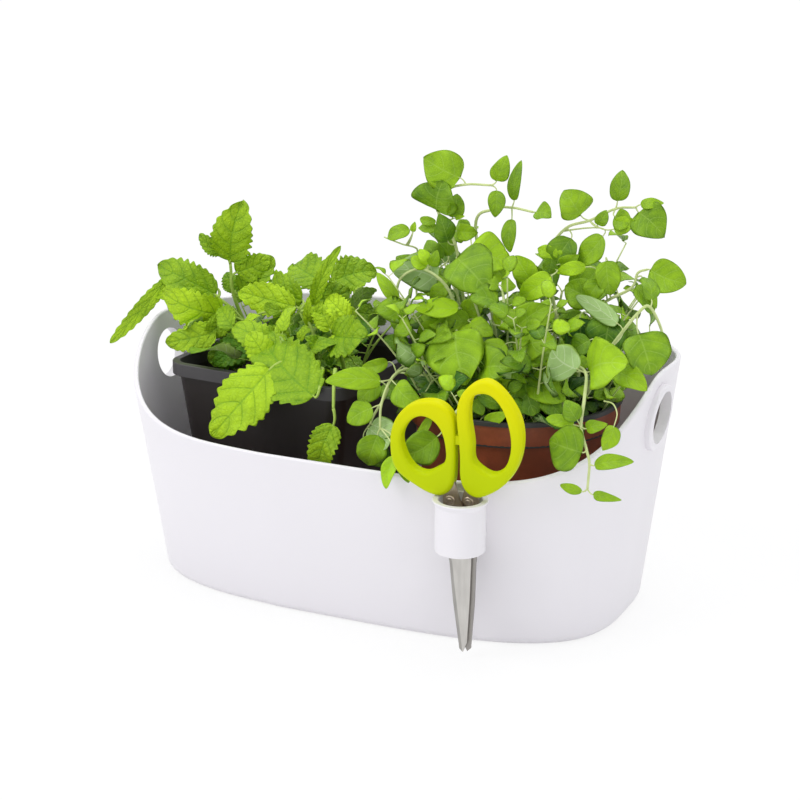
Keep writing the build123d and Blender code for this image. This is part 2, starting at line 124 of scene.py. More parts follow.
class Signal:
    """A shader socket that takes part in arithmetic; every operator adds one Math node."""

    def __init__(self, graph: "Graph", socket: bpy.types.NodeSocket) -> None:
        """Keep the socket and the graph that it belongs to."""
        self.graph = graph
        self.socket = socket

    def math(self, operation: str, *others: Union["Signal", Number], swap: bool = False) -> "Signal":
        """Add a Math node.

        Args:
            operation: the Math node's operation.
            others: the other operands, sockets or numbers.
            swap: put this socket second, for the reflected forms.

        Returns:
            The node's value.
        """
        operands: list[Union[Signal, Number]] = [self, *others]
        if swap:
            operands.reverse()
        return self.graph.add("ShaderNodeMath", {"operation": operation}, *operands)

    def __add__(self, other: Union["Signal", Number]) -> "Signal":
        """Sum."""
        return self.math("ADD", other)

    def __radd__(self, other: Number) -> "Signal":
        """Sum with a number first."""
        return self.math("ADD", other, swap=True)

    def __sub__(self, other: Union["Signal", Number]) -> "Signal":
        """Difference."""
        return self.math("SUBTRACT", other)

    def __rsub__(self, other: Number) -> "Signal":
        """Number less this."""
        return self.math("SUBTRACT", other, swap=True)

    def __mul__(self, other: Union["Signal", Number]) -> "Signal":
        """Product."""
        return self.math("MULTIPLY", other)

    def __rmul__(self, other: Number) -> "Signal":
        """Product with a number first."""
        return self.math("MULTIPLY", other, swap=True)

    def __abs__(self) -> "Signal":
        """Absolute value."""
        return self.math("ABSOLUTE")

    def __gt__(self, other: Union["Signal", Number]) -> "Signal":
        """One where this is greater."""
        return self.math("GREATER_THAN", other)

    def __lt__(self, other: Union["Signal", Number]) -> "Signal":
        """One where this is less."""
        return self.math("LESS_THAN", other)

    def power(self, exponent: Number) -> "Signal":
        """This to a fixed exponent."""
        return self.math("POWER", exponent)

    def fraction(self) -> "Signal":
        """Fractional part."""
        return self.math("FRACT")

    def ramp(self, low: Number, high: Number) -> "Signal":
        """Zero below low, one above high, smooth between."""
        settings = {"interpolation_type": "SMOOTHSTEP"}
        return self.graph.add("ShaderNodeMapRange", settings, self, low, high, 0.0, 1.0)


class Graph:
    """The node graph of one material, or of the surround, empty at first but for its output."""

    def __init__(self, name: str, world: bool = False) -> None:
        """Make the material, or the surround.

        Args:
            name: its name.
            world: make the scene's surround and not a material.
        """
        self.owner = (bpy.data.worlds if world else bpy.data.materials).new(name)
        self.owner.use_nodes = True
        self.nodes = self.owner.node_tree.nodes
        self.links = self.owner.node_tree.links
        self.nodes.clear()
        self.output = self.nodes.new("ShaderNodeOutputWorld" if world else "ShaderNodeOutputMaterial")

    def feed(self, socket: bpy.types.NodeSocket, value: Any) -> None:
        """Link a signal to a socket, or set the socket's own value.

        Args:
            socket: an input.
            value: a signal, a number, or a colour that may lack its alpha.
        """
        if isinstance(value, Signal):
            self.links.new(value.socket, socket)
        elif hasattr(socket.default_value, "__len__") and isinstance(value, (tuple, list)):
            full = list(value) + [1.0] * (len(socket.default_value) - len(value))
            socket.default_value = full
        else:
            socket.default_value = value

    def add(
        self, kind: str, settings: Mapping[str, Any], *values: Any,
        named: Mapping[str, Any] = MappingProxyType({}), out: Union[int, str] = 0,
    ) -> Signal:
        """Add a node of any type.

        Args:
            kind: the node's type.
            settings: its settings, set first.
            values: what its enabled inputs take in order; None leaves one as it is.
            named: what inputs take by their names.
            out: the output to hand back.

        Returns:
            The chosen output.
        """
        node = self.nodes.new(kind)
        for key, setting in settings.items():
            setattr(node, key, setting)
        sockets = [socket for socket in node.inputs if socket.enabled]
        for socket, value in zip(sockets, values):
            if value is not None:
                self.feed(socket, value)
        for name, value in named.items():
            self.feed(node.inputs[name], value)
        if isinstance(out, str):
            return Signal(self, node.outputs[out])
        enabled = [socket for socket in node.outputs if socket.enabled]
        return Signal(self, enabled[out])

    def place(self) -> Signal:
        """Object coordinates."""
        return self.add("ShaderNodeTexCoord", {}, out="Object")

    def split(self, vector: Signal) -> tuple[Signal, Signal, Signal]:
        """The three parts of a vector."""
        first = self.add("ShaderNodeSeparateXYZ", {}, vector)
        node = first.socket.node
        return first, Signal(self, node.outputs[1]), Signal(self, node.outputs[2])

    def mix(self, factor: Union[Signal, Number], low: Any, high: Any) -> Signal:
        """Colour from low to high by a factor."""
        return self.add("ShaderNodeMix", {"data_type": "RGBA"}, factor, low, high)

    def noise(
        self, scale: Number, detail: Number = 3.0, roughness: Number = 0.5, place: Optional[Signal] = None,
    ) -> Signal:
        """Soft noise of the given scale per metre."""
        where = place or self.place()
        return self.add("ShaderNodeTexNoise", {}, where, scale, detail, roughness)

    def cells(self, scale: Number, feature: str = "F1") -> Signal:
        """Distance to the nearest of scattered points, or with DISTANCE_TO_EDGE to the border of its cell."""
        return self.add("ShaderNodeTexVoronoi", {"feature": feature}, self.place(), scale)

    def attribute(self, name: str) -> Signal:
        """A number that the mesh carries at each point."""
        return self.add("ShaderNodeAttribute", {"attribute_name": name}, out="Fac")

    def stretched(self, scale: Point) -> Signal:
        """Object coordinates scaled differently along each axis."""
        return self.add("ShaderNodeMapping", {}, self.place(), None, None, tuple(scale))

    def bump(self, height: Signal, strength: Number, distance: Number) -> Signal:
        """Normal of a relief: the height is in units of the distance, which is in metres."""
        inputs = {"Strength": strength, "Distance": distance, "Height": height}
        return self.add("ShaderNodeBump", {}, named=inputs)

    def seen(self) -> Signal:
        """One on the rays of the camera, of reflections and of what is looked through."""
        rays = self.nodes.new("ShaderNodeLightPath")
        kinds = ("Is Camera Ray", "Is Glossy Ray", "Is Transmission Ray")
        camera, glossy, through = (Signal(self, rays.outputs[kind]) for kind in kinds)
        return camera.math("MAXIMUM", glossy).math("MAXIMUM", through)

    def blend(self, factor: Signal, first: Signal, second: Signal) -> Any:
        """End the graph in a mix of two shaders.

        Args:
            factor: share of the second.
            first: a shader.
            second: another.

        Returns:
            The finished material or surround.
        """
        mix = self.add("ShaderNodeMixShader", {}, factor, first, second)
        self.links.new(mix.socket, self.output.inputs["Surface"])
        return self.owner

    def surface(self, **inputs: Any) -> bpy.types.Material:
        """End the graph in a Principled surface.

        Args:
            inputs: its inputs by name with underscores for spaces.

        Returns:
            The finished material.
        """
        shader = self.nodes.new("ShaderNodeBsdfPrincipled")
        for name, value in inputs.items():
            self.feed(shader.inputs[name.replace("_", " ")], value)
        self.links.new(shader.outputs[0], self.output.inputs["Surface"])
        return self.owner


# Finishes


@dataclass(frozen=True)
class MouldedFinish:
    """Moulded plastic: a fine skin texture, faint flow clouds and small handling marks.

    A piece may go over to a second colour between the two heights, a painted warm reflection on its upper part.
    """

    name: str
    colour: Colour
    roughness: float
    texture_scale: float
    texture_depth: float
    cloud: float
    coat: float
    gloss: float
    painted_light_colour: Optional[Colour] = None
    heights: tuple[float, float] = (0.0, 1.0)

    def material(self) -> bpy.types.Material:
        """Build the material."""
        graph = Graph(self.name)
        clouds = graph.noise(9.0, 2.0)
        shade = tuple(part * (1 - self.cloud) for part in self.colour)
        colour = graph.mix(clouds, shade, self.colour)
        # painted reflection: between the two heights the colour turns to the yellower second colour, as if the tops
        # caught warm light
        if self.painted_light_colour is not None:
            height = graph.split(graph.place())[2]
            colour = graph.mix(height.ramp(*self.heights), colour, self.painted_light_colour)
        grain = graph.noise(self.texture_scale, 2.0)
        marks = graph.noise(60.0, 4.0, 0.7).ramp(0.62, 0.75)
        return graph.surface(
            Base_Color=colour,
            Roughness=self.roughness + 0.08 * grain + 0.10 * marks,
            Normal=graph.bump(grain, 0.4, self.texture_depth),
            Coat_Weight=self.coat,
            Coat_Roughness=0.18,
            Specular_IOR_Level=self.gloss,
        )


@dataclass(frozen=True)
class SteelFinish:
    """Ground stainless steel with fine scratches across the blade."""

    name: str
    colour: Colour
    shank_colour: Colour
    shank_low: float
    roughness: float
    grind: Point
    edge_place: float
    edge_lean: float
    edge_width: float

    def material(self) -> bpy.types.Material:
        """Build the material: painted shade along the bevelled edge, where x is under place + lean * z, and unpolished
        shanks.
        """
        graph = Graph(self.name)
        lines = graph.noise(1.0, 3.0, 0.6, graph.stretched(self.grind))
        stain = graph.noise(70.0, 3.0)
        x, _, z = graph.split(graph.place())
        # painted shade: the strip along the bevelled edge is mixed towards the darker steel; the scratch lines and
        # stains are the steel's own
        inward = x - (z * self.edge_lean + self.edge_place)
        polish_and_edge_shade = inward.ramp(self.edge_width * 0.75, self.edge_width) * 0.55 + 0.6 * lines + 0.3 * stain - 0.25
        dark = tuple(part * 0.45 for part in self.colour)
        ground = graph.mix(polish_and_edge_shade, dark, self.colour)
        shank = z.ramp(self.shank_low, self.shank_low + 2 * MM)
        return graph.surface(
            Base_Color=graph.mix(shank, ground, self.shank_colour),
            Metallic=1.0,
            Roughness=self.roughness + 0.16 * lines,
            Normal=graph.bump(lines, 0.25, 0.05 * MM),
        )


@dataclass(frozen=True)
class ClayPotFinish:
    """Two-layer nursery pot: clay coloured outside, near black inside and on its lip."""

    name: str
    clay: Colour
    inside: Colour
    centre: Point
    foot_radius: float
    shoulder_radius: float
    band_radius: float
    band_low: float
    lip_low: float
    foot: float
    wall: float

    def material(self) -> bpy.types.Material:
        """Build the material; a point is inside where it is nearer the axis than mid-wall."""
        graph = Graph(self.name)
        x, y, z = graph.split(graph.place())
        across = x - self.centre[0]
        deep = y - self.centre[1]
        radius = (across * across + deep * deep).power(0.5)
        slope = (self.shoulder_radius - self.foot_radius) / (self.band_low - self.foot)
        body = (z - self.foot) * slope + (self.foot_radius - self.wall / 2)
        in_band = z > self.band_low
        limit = body + in_band * ((self.band_radius - self.wall / 2) - body)
        dark = (radius < limit).math("MAXIMUM", z > self.lip_low)
        scuffs = graph.noise(45.0, 5.0, 0.65)
        pale = tuple(min(1.0, part * 1.35) for part in self.clay)
        deep_clay = tuple(part * 0.8 for part in self.clay)
        outside = graph.mix(scuffs.ramp(0.35, 0.75), deep_clay, pale)
        grain = graph.noise(1400.0, 2.0)
        return graph.surface(
            Base_Color=graph.mix(dark, outside, self.inside),
            Roughness=0.36 + 0.16 * scuffs,
            Normal=graph.bump(grain, 0.3, 0.04 * MM),
        )


@dataclass(frozen=True)
class DarkPotFinish:
    """Thin recycled plastic, dark brown-black, with vertical pulls, paler patches and a paler turned rim."""

    name: str
    colour: Colour
    pale_tint: Colour
    rim_low: float

    def material(self) -> bpy.types.Material:
        """Build the material."""
        graph = Graph(self.name)
        height = graph.split(graph.place())[2]
        pulls = graph.noise(1.0, 3.0, 0.6, graph.stretched((70.0, 70.0, 6.0)))
        patches = graph.noise(24.0, 4.0, 0.6)
        # the turned rim is mixed a good way towards the paler grey
        rim = height > self.rim_low
        veil = pulls * 0.10 + patches.ramp(0.45, 0.85) * 0.10 + rim * 0.35
        return graph.surface(
            Base_Color=graph.mix(veil, self.colour, self.pale_tint),
            Roughness=0.34 + 0.22 * patches,
            Normal=graph.bump(graph.noise(900.0, 2.0), 0.35, 0.05 * MM),
        )


@dataclass(frozen=True)
class CompostFinish:
    """Moist peat: dark crumbs with fibres and a few pale grains."""

    name: str
    dark: Colour
    light: Colour

    def material(self) -> bpy.types.Material:
        """Build the material."""
        graph = Graph(self.name)
        crumbs = graph.cells(420.0)
        fibres = graph.noise(900.0, 5.0, 0.7)
        return graph.surface(
            Base_Color=graph.mix(fibres.ramp(0.4, 0.8), self.dark, self.light),
            Roughness=0.9,
            Normal=graph.bump(crumbs + fibres * 0.6, 0.9, 1.2 * MM),
        )


@dataclass(frozen=True)
class LeafFinish:
    """Living leaf whose veins follow its own UV map: x from base to tip, y from edge to edge."""

    name: str
    deep: Colour
    bright: Colour
    vein: Colour
    under: Colour
    under_vein: Colour
    vein_pairs: float
    vein_lean: float
    vein_mix: float
    quilt_scale: float
    quilt_depth: float
    quilt_shade: float
    roughness: float

    def material(self) -> bpy.types.Material:
        """Build the material; side veins lie where (u - lean * |v|^1.3) * pairs is a whole number and a half."""
        graph = Graph(self.name)
        uv = graph.add("ShaderNodeUVMap", {"uv_map": MAP_NAME})
        along, across, _ = graph.split(uv)
        off = abs(across - 0.5) * 2.0
        phase = ((along - off.power(1.3) * self.vein_lean) * self.vein_pairs).fraction()
        between = abs(phase - 0.5)
        side_vein = 1.0 - between.ramp(0.0, 0.08)
        side_vein = side_vein * (1.0 - off.ramp(0.60, 1.0) * 0.8)
        midrib = 1.0 - off.ramp(0.01, 0.06)
        veins = side_vein.math("MAXIMUM", midrib)
        tone = graph.attribute("tone")
        blotch = graph.noise(110.0, 3.0)
        cushions = graph.cells(self.quilt_scale, "DISTANCE_TO_EDGE").ramp(0.0, 0.28)
        # Painted shade: the tone mark carries each leaf's brightness, partly painted shade, and the cushions term
        # darkens the creases between the cushions; the blotch term is the leaf's own mottling, and the last term
        # darkens it towards the side veins.
        mottle_and_shade = tone + (blotch - 0.5) * 0.55 + (cushions - 0.6) * self.quilt_shade + (between - 0.25) * 0.2
        blade = graph.mix(mottle_and_shade, self.deep, self.bright)
        top = graph.mix(veins * self.vein_mix, blade, self.vein)
        below = graph.mix(veins * 0.6, self.under, self.under_vein)
        colour = graph.mix(graph.attribute("under"), top, below)
        relief = cushions + graph.noise(self.quilt_scale * 1.7, 2.0) * 0.4 - veins * 0.9
        return graph.surface(
            Base_Color=colour,
            Roughness=self.roughness + 0.12 * blotch,
            Normal=graph.bump(relief, 0.7, self.quilt_depth),
            Specular_IOR_Level=0.28,
        )


@dataclass(frozen=True)
class StemFinish:
    """Soft herb stem, paler in soft patches, with fine hairs read as a bump."""

    name: str
    colour: Colour
    pale: Colour

    def material(self) -> bpy.types.Material:
        """Build the material."""
        graph = Graph(self.name)
        streak = graph.noise(140.0, 3.0, 0.6)
        return graph.surface(
            Base_Color=graph.mix(streak, self.colour, self.pale),
            Roughness=0.5 + 0.1 * streak,
            Normal=graph.bump(graph.noise(2500.0, 2.0), 0.5, 0.06 * MM),
        )


# Surfaces


@dataclass
class Surface:
    """Points with faces of four corners, and a UV pair, a tone and an underside mark for each point."""

    points: np.ndarray
    quads: np.ndarray
    uv: np.ndarray
    tone: np.ndarray
    under: np.ndarray

    @staticmethod
    def joined(parts: Sequence["Surface"]) -> "Surface":
        """Put several surfaces in one, each with its own points.

        Args:
            parts: the surfaces.

        Returns:
            The whole.
        """
        starts = np.cumsum([0] + [len(part.points) for part in parts[:-1]])
        quads = np.concatenate([part.quads + start for part, start in zip(parts, starts)])
        names = ("points", "uv", "tone", "under")
        points, uv, tone, under = (np.concatenate([getattr(part, name) for part in parts]) for name in names)
        return Surface(points, quads, uv, tone, under)


def grid_quads(rows: int, columns: int, close_rows: bool = False, close_columns: bool = False) -> np.ndarray:
    """Faces of a grid of points in row order.

    Args:
        rows: points along the first parameter.
        columns: points along the second.
        close_rows: join the last row to the first.
        close_columns: join the last column to the first.

    Returns:
        Corner numbers, four to a face.
    """
    i = np.arange(rows if close_rows else rows - 1)[:, None]
    j = np.arange(columns if close_columns else columns - 1)[None, :]
    next_i = (i + 1) % rows
    next_j = (j + 1) % columns
    quads = np.stack([i * columns + j, next_i * columns + j, next_i * columns + next_j, i * columns + next_j], axis=-1)
    return quads.reshape(-1, 4)


def cap_quads(first: int, sides: int) -> np.ndarray:
    """Faces that close a ring, in the ring's own order.

    Args:
        first: number of the ring's first point.
        sides: points of the ring, an even number.

    Returns:
        Corner numbers, four to a face.
    """
    odd = np.arange(1, sides - 1, 2)
    return first + np.stack([np.zeros_like(odd), odd, odd + 1, odd + 2], axis=-1)


def unit(vectors: np.ndarray) -> np.ndarray:
    """Vectors scaled to length one."""
    return vectors / np.maximum(np.linalg.norm(vectors, axis=-1, keepdims=True), 1e-12)


def smooth_path(points: np.ndarray, count: int) -> np.ndarray:
    """Even samples of the Catmull-Rom curve through the points.

    On each span the curve is the cubic whose slope at a point is half the way between its neighbours.

    Args:
        points: the points it passes.
        count: number of samples.

    Returns:
        The samples.
    """
    padded = np.concatenate([[2 * points[0] - points[1]], points, [2 * points[-1] - points[-2]]])
    spans = len(points) - 1
    place = np.linspace(0, spans, count)
    span = np.minimum(place.astype(int), spans - 1)
    t = (place - span)[:, None]
    before, start, end, after = (padded[span + step] for step in range(4))
    return 0.5 * (
        2 * start + (end - before) * t
        + (2 * before - 5 * start + 4 * end - after) * t ** 2
        + (3 * start - before - 3 * end + after) * t ** 3
    )


def tube(path: np.ndarray, radius: np.ndarray, corners: float, sides: int) -> Surface:
    """Closed tube along a path.

    The section is the superellipse |x|^k + |y|^k = r^k, k being the corners value, carried on two
    directions square to the path; the ends shrink to a small ring with a face across it.

    Args:
        path: points of the middle line.
        radius: radius at each point.
        corners: 2 is round, more is squarer.
        sides: points round the section, an even number.

    Returns:
        The tube.
    """
    end_ring = 0.02
    path = np.concatenate([path[:1], path, path[-1:]])
    radius = np.concatenate([radius[:1] * end_ring, radius, radius[-1:] * end_ring])
    forward = unit(np.gradient(path, axis=0) + 1e-9)
    spread = np.abs(forward).sum(axis=0)
    reference = np.eye(3)[int(np.argmin(spread))]
    side = unit(np.cross(forward, reference))
    up = np.cross(side, forward)
    angle = np.linspace(0, FULL_TURN, sides, endpoint=False)
    power = 2 / corners
    x = np.sign(np.cos(angle)) * np.abs(np.cos(angle)) ** power
    y = np.sign(np.sin(angle)) * np.abs(np.sin(angle)) ** power
    ring = side[:, None] * x[None, :, None] + up[:, None] * y[None, :, None]
    points = (path[:, None] + ring * radius[:, None, None]).reshape(-1, 3)
    rows = len(path)
    uv = np.stack(np.meshgrid(np.linspace(0, 1, rows), angle / FULL_TURN, indexing="ij"), axis=-1)
    count = len(points)
    walls = grid_quads(rows, sides, close_columns=True)
    quads = np.concatenate([walls, cap_quads(0, sides), cap_quads(count - sides, sides)[:, ::-1]])
    return Surface(points, quads, uv.reshape(-1, 2), np.full(count, 0.5), np.zeros(count))


def make_piece(name: str, surface: Surface, material: bpy.types.Material) -> bpy.types.Object:
    """Put a surface into a mesh object at the origin, smooth shaded, with its map and marks.

    Args:
        name: the piece's name.
        surface: its shape.
        material: its finish.

    Returns:
        The object.
    """
    mesh = bpy.data.meshes.new(name)
    mesh.vertices.add(len(surface.points))
    mesh.vertices.foreach_set("co", surface.points.astype(np.float32).ravel())
    mesh.loops.add(surface.quads.size)
    mesh.loops.foreach_set("vertex_index", surface.quads.astype(np.int32).ravel())
    mesh.polygons.add(len(surface.quads))
    mesh.polygons.foreach_set("loop_start", np.arange(0, surface.quads.size, 4, dtype=np.int32))
    mesh.update(calc_edges=True)
    layer = mesh.uv_layers.new(name=MAP_NAME)
    layer.data.foreach_set("uv", surface.uv[surface.quads.ravel()].astype(np.float32).ravel())
    for mark, values in (("tone", surface.tone), ("under", surface.under)):
        attribute = mesh.attributes.new(mark, "FLOAT", "POINT")
        attribute.data.foreach_set("value", values.astype(np.float32))
    mesh.polygons.foreach_set("use_smooth", np.ones(len(surface.quads), dtype=bool))
    mesh.materials.append(material)
    mesh.validate()
    piece = bpy.data.objects.new(name, mesh)
    bpy.context.scene.collection.objects.link(piece)
    return piece


def dress(piece: bpy.types.Object, body: str, nodes: Iterable[str] = ()) -> None:
    """Name the body that a piece rides on and the nodes that it stands for.

    Args:
        piece: the object.
        body: the body that it moves with.
        nodes: CAD nodes that it replaces.
    """
    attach(piece, body)
    for node in nodes:
        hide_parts(node)
    LOG.info("%s rides on %s, %d faces", piece.name, body, len(piece.data.polygons))


def paint(node: str, material: bpy.types.Material) -> None:
    """Give a kept CAD node its finish.

    Args:
        node: the node's name.
        material: the finish.
    """
    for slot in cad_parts[node].material_slots:
        slot.material = material
    LOG.info("%s keeps its solid, painted %s", node, material.name)


# Leaves and stems


@dataclass(frozen=True)
class LeafForm:
    """Proportions of one kind of leaf; what is not a count is a share of its length or width."""

    base_fullness: float
    tip_fullness: float
    teeth: int
    tooth_depth: float
    fold: float
    arch: float
    curl: float
    wave: float
    bend: float
    vein_pairs: float
    vein_lean: float
    quilt: float
    thickness: float
    along: int
    across: int

    def surface(
        self, base: np.ndarray, tip: np.ndarray, width: float, facing: np.ndarray, phase: float, tone: float,
        arch: float = 1.0,
    ) -> Surface:
        """Closed thin leaf.

        With u from base to tip and v from edge to edge, the half width is
        w = width/2 * (u/m)^a * ((1-u)/(1-m))^b with its peak at m = a/(a+b), where a and b differ a
        little from leaf to leaf, and its edge is scalloped by 1 - sin(pi t^1.5) of each tooth's own
        share t. The height over the flat leaf is the arch 4u(1-u), the curl of the tip u^3, the fold
        along |v|, edge waves v^2 sin, and a quilt |sin| between the side veins, broken up across; the
        midrib bends sideways by 4u(1-u). The phase also sets how sharply the leaf is folded.

        Args:
            base: where the stalk ends.
            tip: the leaf's tip.
            width: greatest width.
            facing: direction that the upper side turns to.
            phase: shifts the waves and the bend, so that no two leaves are alike.
            tone: brightness of the leaf.
            arch: factor on the arch and the curl.

        Returns:
            Upper and lower side, joined at the edge.
        """
        u = np.linspace(0, 1, self.along)[:, None]
        v = np.linspace(-1, 1, self.across)[None, :]
        span = tip - base
        length = float(np.linalg.norm(span))
        forward = span / length
        side = unit(np.cross(forward, facing))
        normal = np.cross(side, forward)
        variety, stub, tooth_onset, gutter_round = 0.10, 0.015, 0.12, 0.04
        a = self.base_fullness * (1 + variety * math.sin(phase * 5.3))
        b = self.tip_fullness * (1 + variety * math.cos(phase * 4.1))
        peak = a / (a + b)
        outline = (u / peak) ** a * ((1 - u) / (1 - peak)) ** b
        half = width / 2 * outline + width * stub
        tooth = (u * self.teeth * (1 + 0.25 * (1 - u))) % 1.0
        notch = (1 - np.sin(np.pi * tooth ** 1.5)) * np.clip(u / tooth_onset, 0, 1)
        notch = notch * (1 + 0.4 * np.sin(9 * u + phase))
        edge = np.abs(v) ** 5
        x = half * v * (1 - self.tooth_depth * notch * edge)
        sway = self.bend * math.sin(phase * 3.1) * length * 4 * u * (1 - u)
        lift = self.arch * arch * length * 4 * u * (1 - u) - self.curl * arch * length * u ** 3
        fold = self.fold * (1 + 0.9 * math.sin(phase * 3.7))
        gutter = fold * np.sqrt(x ** 2 + (gutter_round * width) ** 2)
        ripple = self.wave * width * v ** 2 * np.sin(2 * np.pi * (1.6 * u + 0.23 * np.sign(v)) + phase)
        twist = 0.12 * math.sin(phase * 2.3) * x * u
        rib = np.pi * (u - self.vein_lean * np.abs(v) ** 1.3) * self.vein_pairs
        across_rib = np.abs(np.sin(9 * np.abs(v) + 14 * u + phase))
        quilt = np.abs(np.cos(rib)) ** 0.6 * (0.45 + 0.55 * across_rib)
        quilt = quilt * (1 - edge) * np.clip(np.abs(v) * 5, 0, 1) * self.quilt * width
        height = lift + gutter + ripple + twist + quilt
        along = np.broadcast_to(u * length, height.shape)
        top = base + along[..., None] * forward + (x + sway)[..., None] * side + height[..., None] * normal
        low = top - normal * self.thickness
        return self._closed(top, low, u, v, tone)

    def _closed(self, top: np.ndarray, low: np.ndarray, u: np.ndarray, v: np.ndarray, tone: float) -> Surface:
        """Join the two sides at their shared edge points.

        Args:
            top: grid of points of the upper side.
            low: grid of points of the lower side.
            u: place along the leaf of each row.
            v: place across it of each column.
            tone: brightness of the leaf.

        Returns:
            The closed leaf.
        """
        rows, columns = top.shape[:2]
        number = np.arange(rows * columns).reshape(rows, columns)
        inner = np.zeros((rows, columns), bool)
        inner[1:-1, 1:-1] = True
        lower = number.copy()
        lower[inner] = rows * columns + np.arange(inner.sum())
        upper_quads = grid_quads(rows, columns)
        lower_quads = lower.ravel()[upper_quads]
        upper_quads = upper_quads[:, ::-1]
        flat = top.reshape(-1, 3)
        points = np.concatenate([flat, low[inner]])
        uv = np.stack(np.broadcast_arrays(u, v * 0.5 + 0.5), axis=-1)
        maps = np.concatenate([uv.reshape(-1, 2), uv[inner]])
        under = np.concatenate([np.zeros(len(flat)), np.ones(inner.sum())])
        return Surface(points, np.concatenate([upper_quads, lower_quads]), maps, np.full(len(points), tone), under)


@dataclass(frozen=True)
class Leaf:
    """One leaf of a sprig; places are shares of REACH from the middle of the pot's soil."""

    stem_point: int
    base: Point
    tip: Point
    width: float
    # tone is the leaf's brightness, partly its own colour and partly painted shade for a leaf that lies in shadow
    tone: float = 0.55
    arch: float = 1.0
    turned_over: bool = False


@dataclass(frozen=True)
class SeenLeaf:
    """A leaf placed by the photograph: pixels of its base and tip, their Y and its width in millimetres."""

    base: Point
    tip: Point
    depth: Point
    width: float
    # tone is the leaf's brightness, partly its own colour and partly painted shade for a leaf that lies in shadow
    tone: float = 0.55
    turned_over: bool = False
    arch: float = 1.0


@dataclass(frozen=True)
class SeenStem:
    """A stem placed by the photograph: pixel and Y in millimetres of each point, and its radius in millimetres."""

    points: Sequence[Point]
    radius: float


@dataclass(frozen=True)
class Sprig:
    """A stem through given points, with its leaves."""

    node: str
    stem: Sequence[Point]
    leaves: Sequence[Leaf]


@dataclass(frozen=True)
class Thicket:
    """Grown-in short shoots that fill a pot between the listed sprigs; lengths are in metres."""

    shoots: int
    spread: float
    height: tuple[float, float]
    splay: float
    pair_gap: float
    leaf_length: tuple[float, float]
    slimness: float
    low: Point
    high: Point

    def grow(
        self, origin: np.ndarray, form: LeafForm, stem_radius: float, random: np.random.Generator,
    ) -> tuple[list[Surface], list[Surface]]:
        """Grow every shoot: its lean grows with t^1.6 up it, and each pair of leaves stands a quarter turn on.

        Args:
            origin: middle of the soil's top.
            form: the leaves' form.
            stem_radius: radius of a shoot at its foot.
            random: the seeded source of chance.

        Returns:
            Leaves and stems.
        """
        leaves: list[Surface] = []
        stems: list[Surface] = []
        samples = 12
        for number in range(self.shoots):
            turn = number * GOLDEN_TURN + random.uniform(-0.3, 0.3)
            out = self.spread * math.sqrt((number + 0.5) / self.shoots)
            away = np.array([math.cos(turn), math.sin(turn), 0.0])
            foot = origin + away * out - np.array([0, 0, 2 * MM])
            tall = random.uniform(*self.height)
            lean = away * self.splay * (0.3 + out / self.spread) + random.normal(0, 0.12, 3) * (1, 1, 0)
            t = np.linspace(0, 1, samples)[:, None]
            path = foot + np.array([0, 0, tall]) * t + lean * tall * t ** 1.6
            if not self.holds(path[-1]):
                continue
            stems.append(tube(path, np.linspace(stem_radius, stem_radius * 0.45, samples), 2.4, 6))
            pairs = max(2, int(tall / self.pair_gap))
            for pair in range(pairs):
                share = (pair + 1) / pairs
                heart = path[min(samples - 1, int(round(share * (samples - 1))))]
                self.pair(leaves, stems, heart, away, turn + pair * math.pi / 2, share, form, stem_radius, random)
        return leaves, stems

    def holds(self, point: np.ndarray) -> bool:
        """Whether a point lies in the room that the thicket may take."""
        return bool(np.all(point > self.low) and np.all(point < self.high))

    def pair(
        self, leaves: list[Surface], stems: list[Surface], heart: np.ndarray, away: np.ndarray, turn: float,
        share: float, form: LeafForm, stem_radius: float, random: np.random.Generator,
    ) -> None:
        """Add two facing leaves with their stalks at one point of a shoot.

        Args:
            leaves: takes the leaves.
            stems: takes the stalks.
            heart: the point of the shoot.
            away: level direction from the pot's middle to the shoot.
            turn: angle of the first leaf about the shoot.
            share: place up the shoot; leaves grow smaller towards 1, and the lower ones are darkened as painted shade.
            form: the leaves' form.
            stem_radius: radius of a shoot at its foot.
            random: the seeded source of chance.
        """
        for side in (0.0, math.pi):
            angle = turn + side + random.uniform(-0.5, 0.5)
            rise = random.uniform(-0.15, 0.75) + 0.5 * (share > 0.99)
            forward = unit(np.array([math.cos(angle), math.sin(angle), rise]))
            length = random.uniform(*self.leaf_length) * (1.15 - 0.55 * share ** 3)
            base = heart + forward * length * 0.28
            tip = base + forward * length
            if not (self.holds(tip) and self.holds(base)):
                continue
            facing = unit(away * 0.75 + np.array([0, 0, 0.7]) + random.normal(0, 0.3, 3))
            # painted shade: low leaves, deep among the shoots, get darker tones; the chance part is their own variation
            tone = float(np.clip(-0.05 + 0.65 * share + random.normal(0, 0.16), -0.1, 1))
            width = length * self.slimness * random.uniform(0.85, 1.15)
            phase = float(random.uniform(0, FULL_TURN))
            leaves.append(form.surface(base, tip, width, facing, phase, tone, random.uniform(0.6, 1.8)))
            stems.append(tube(np.linspace(heart, base + forward * MM, 4), np.full(4, stem_radius * 0.35), 2.0, 4))


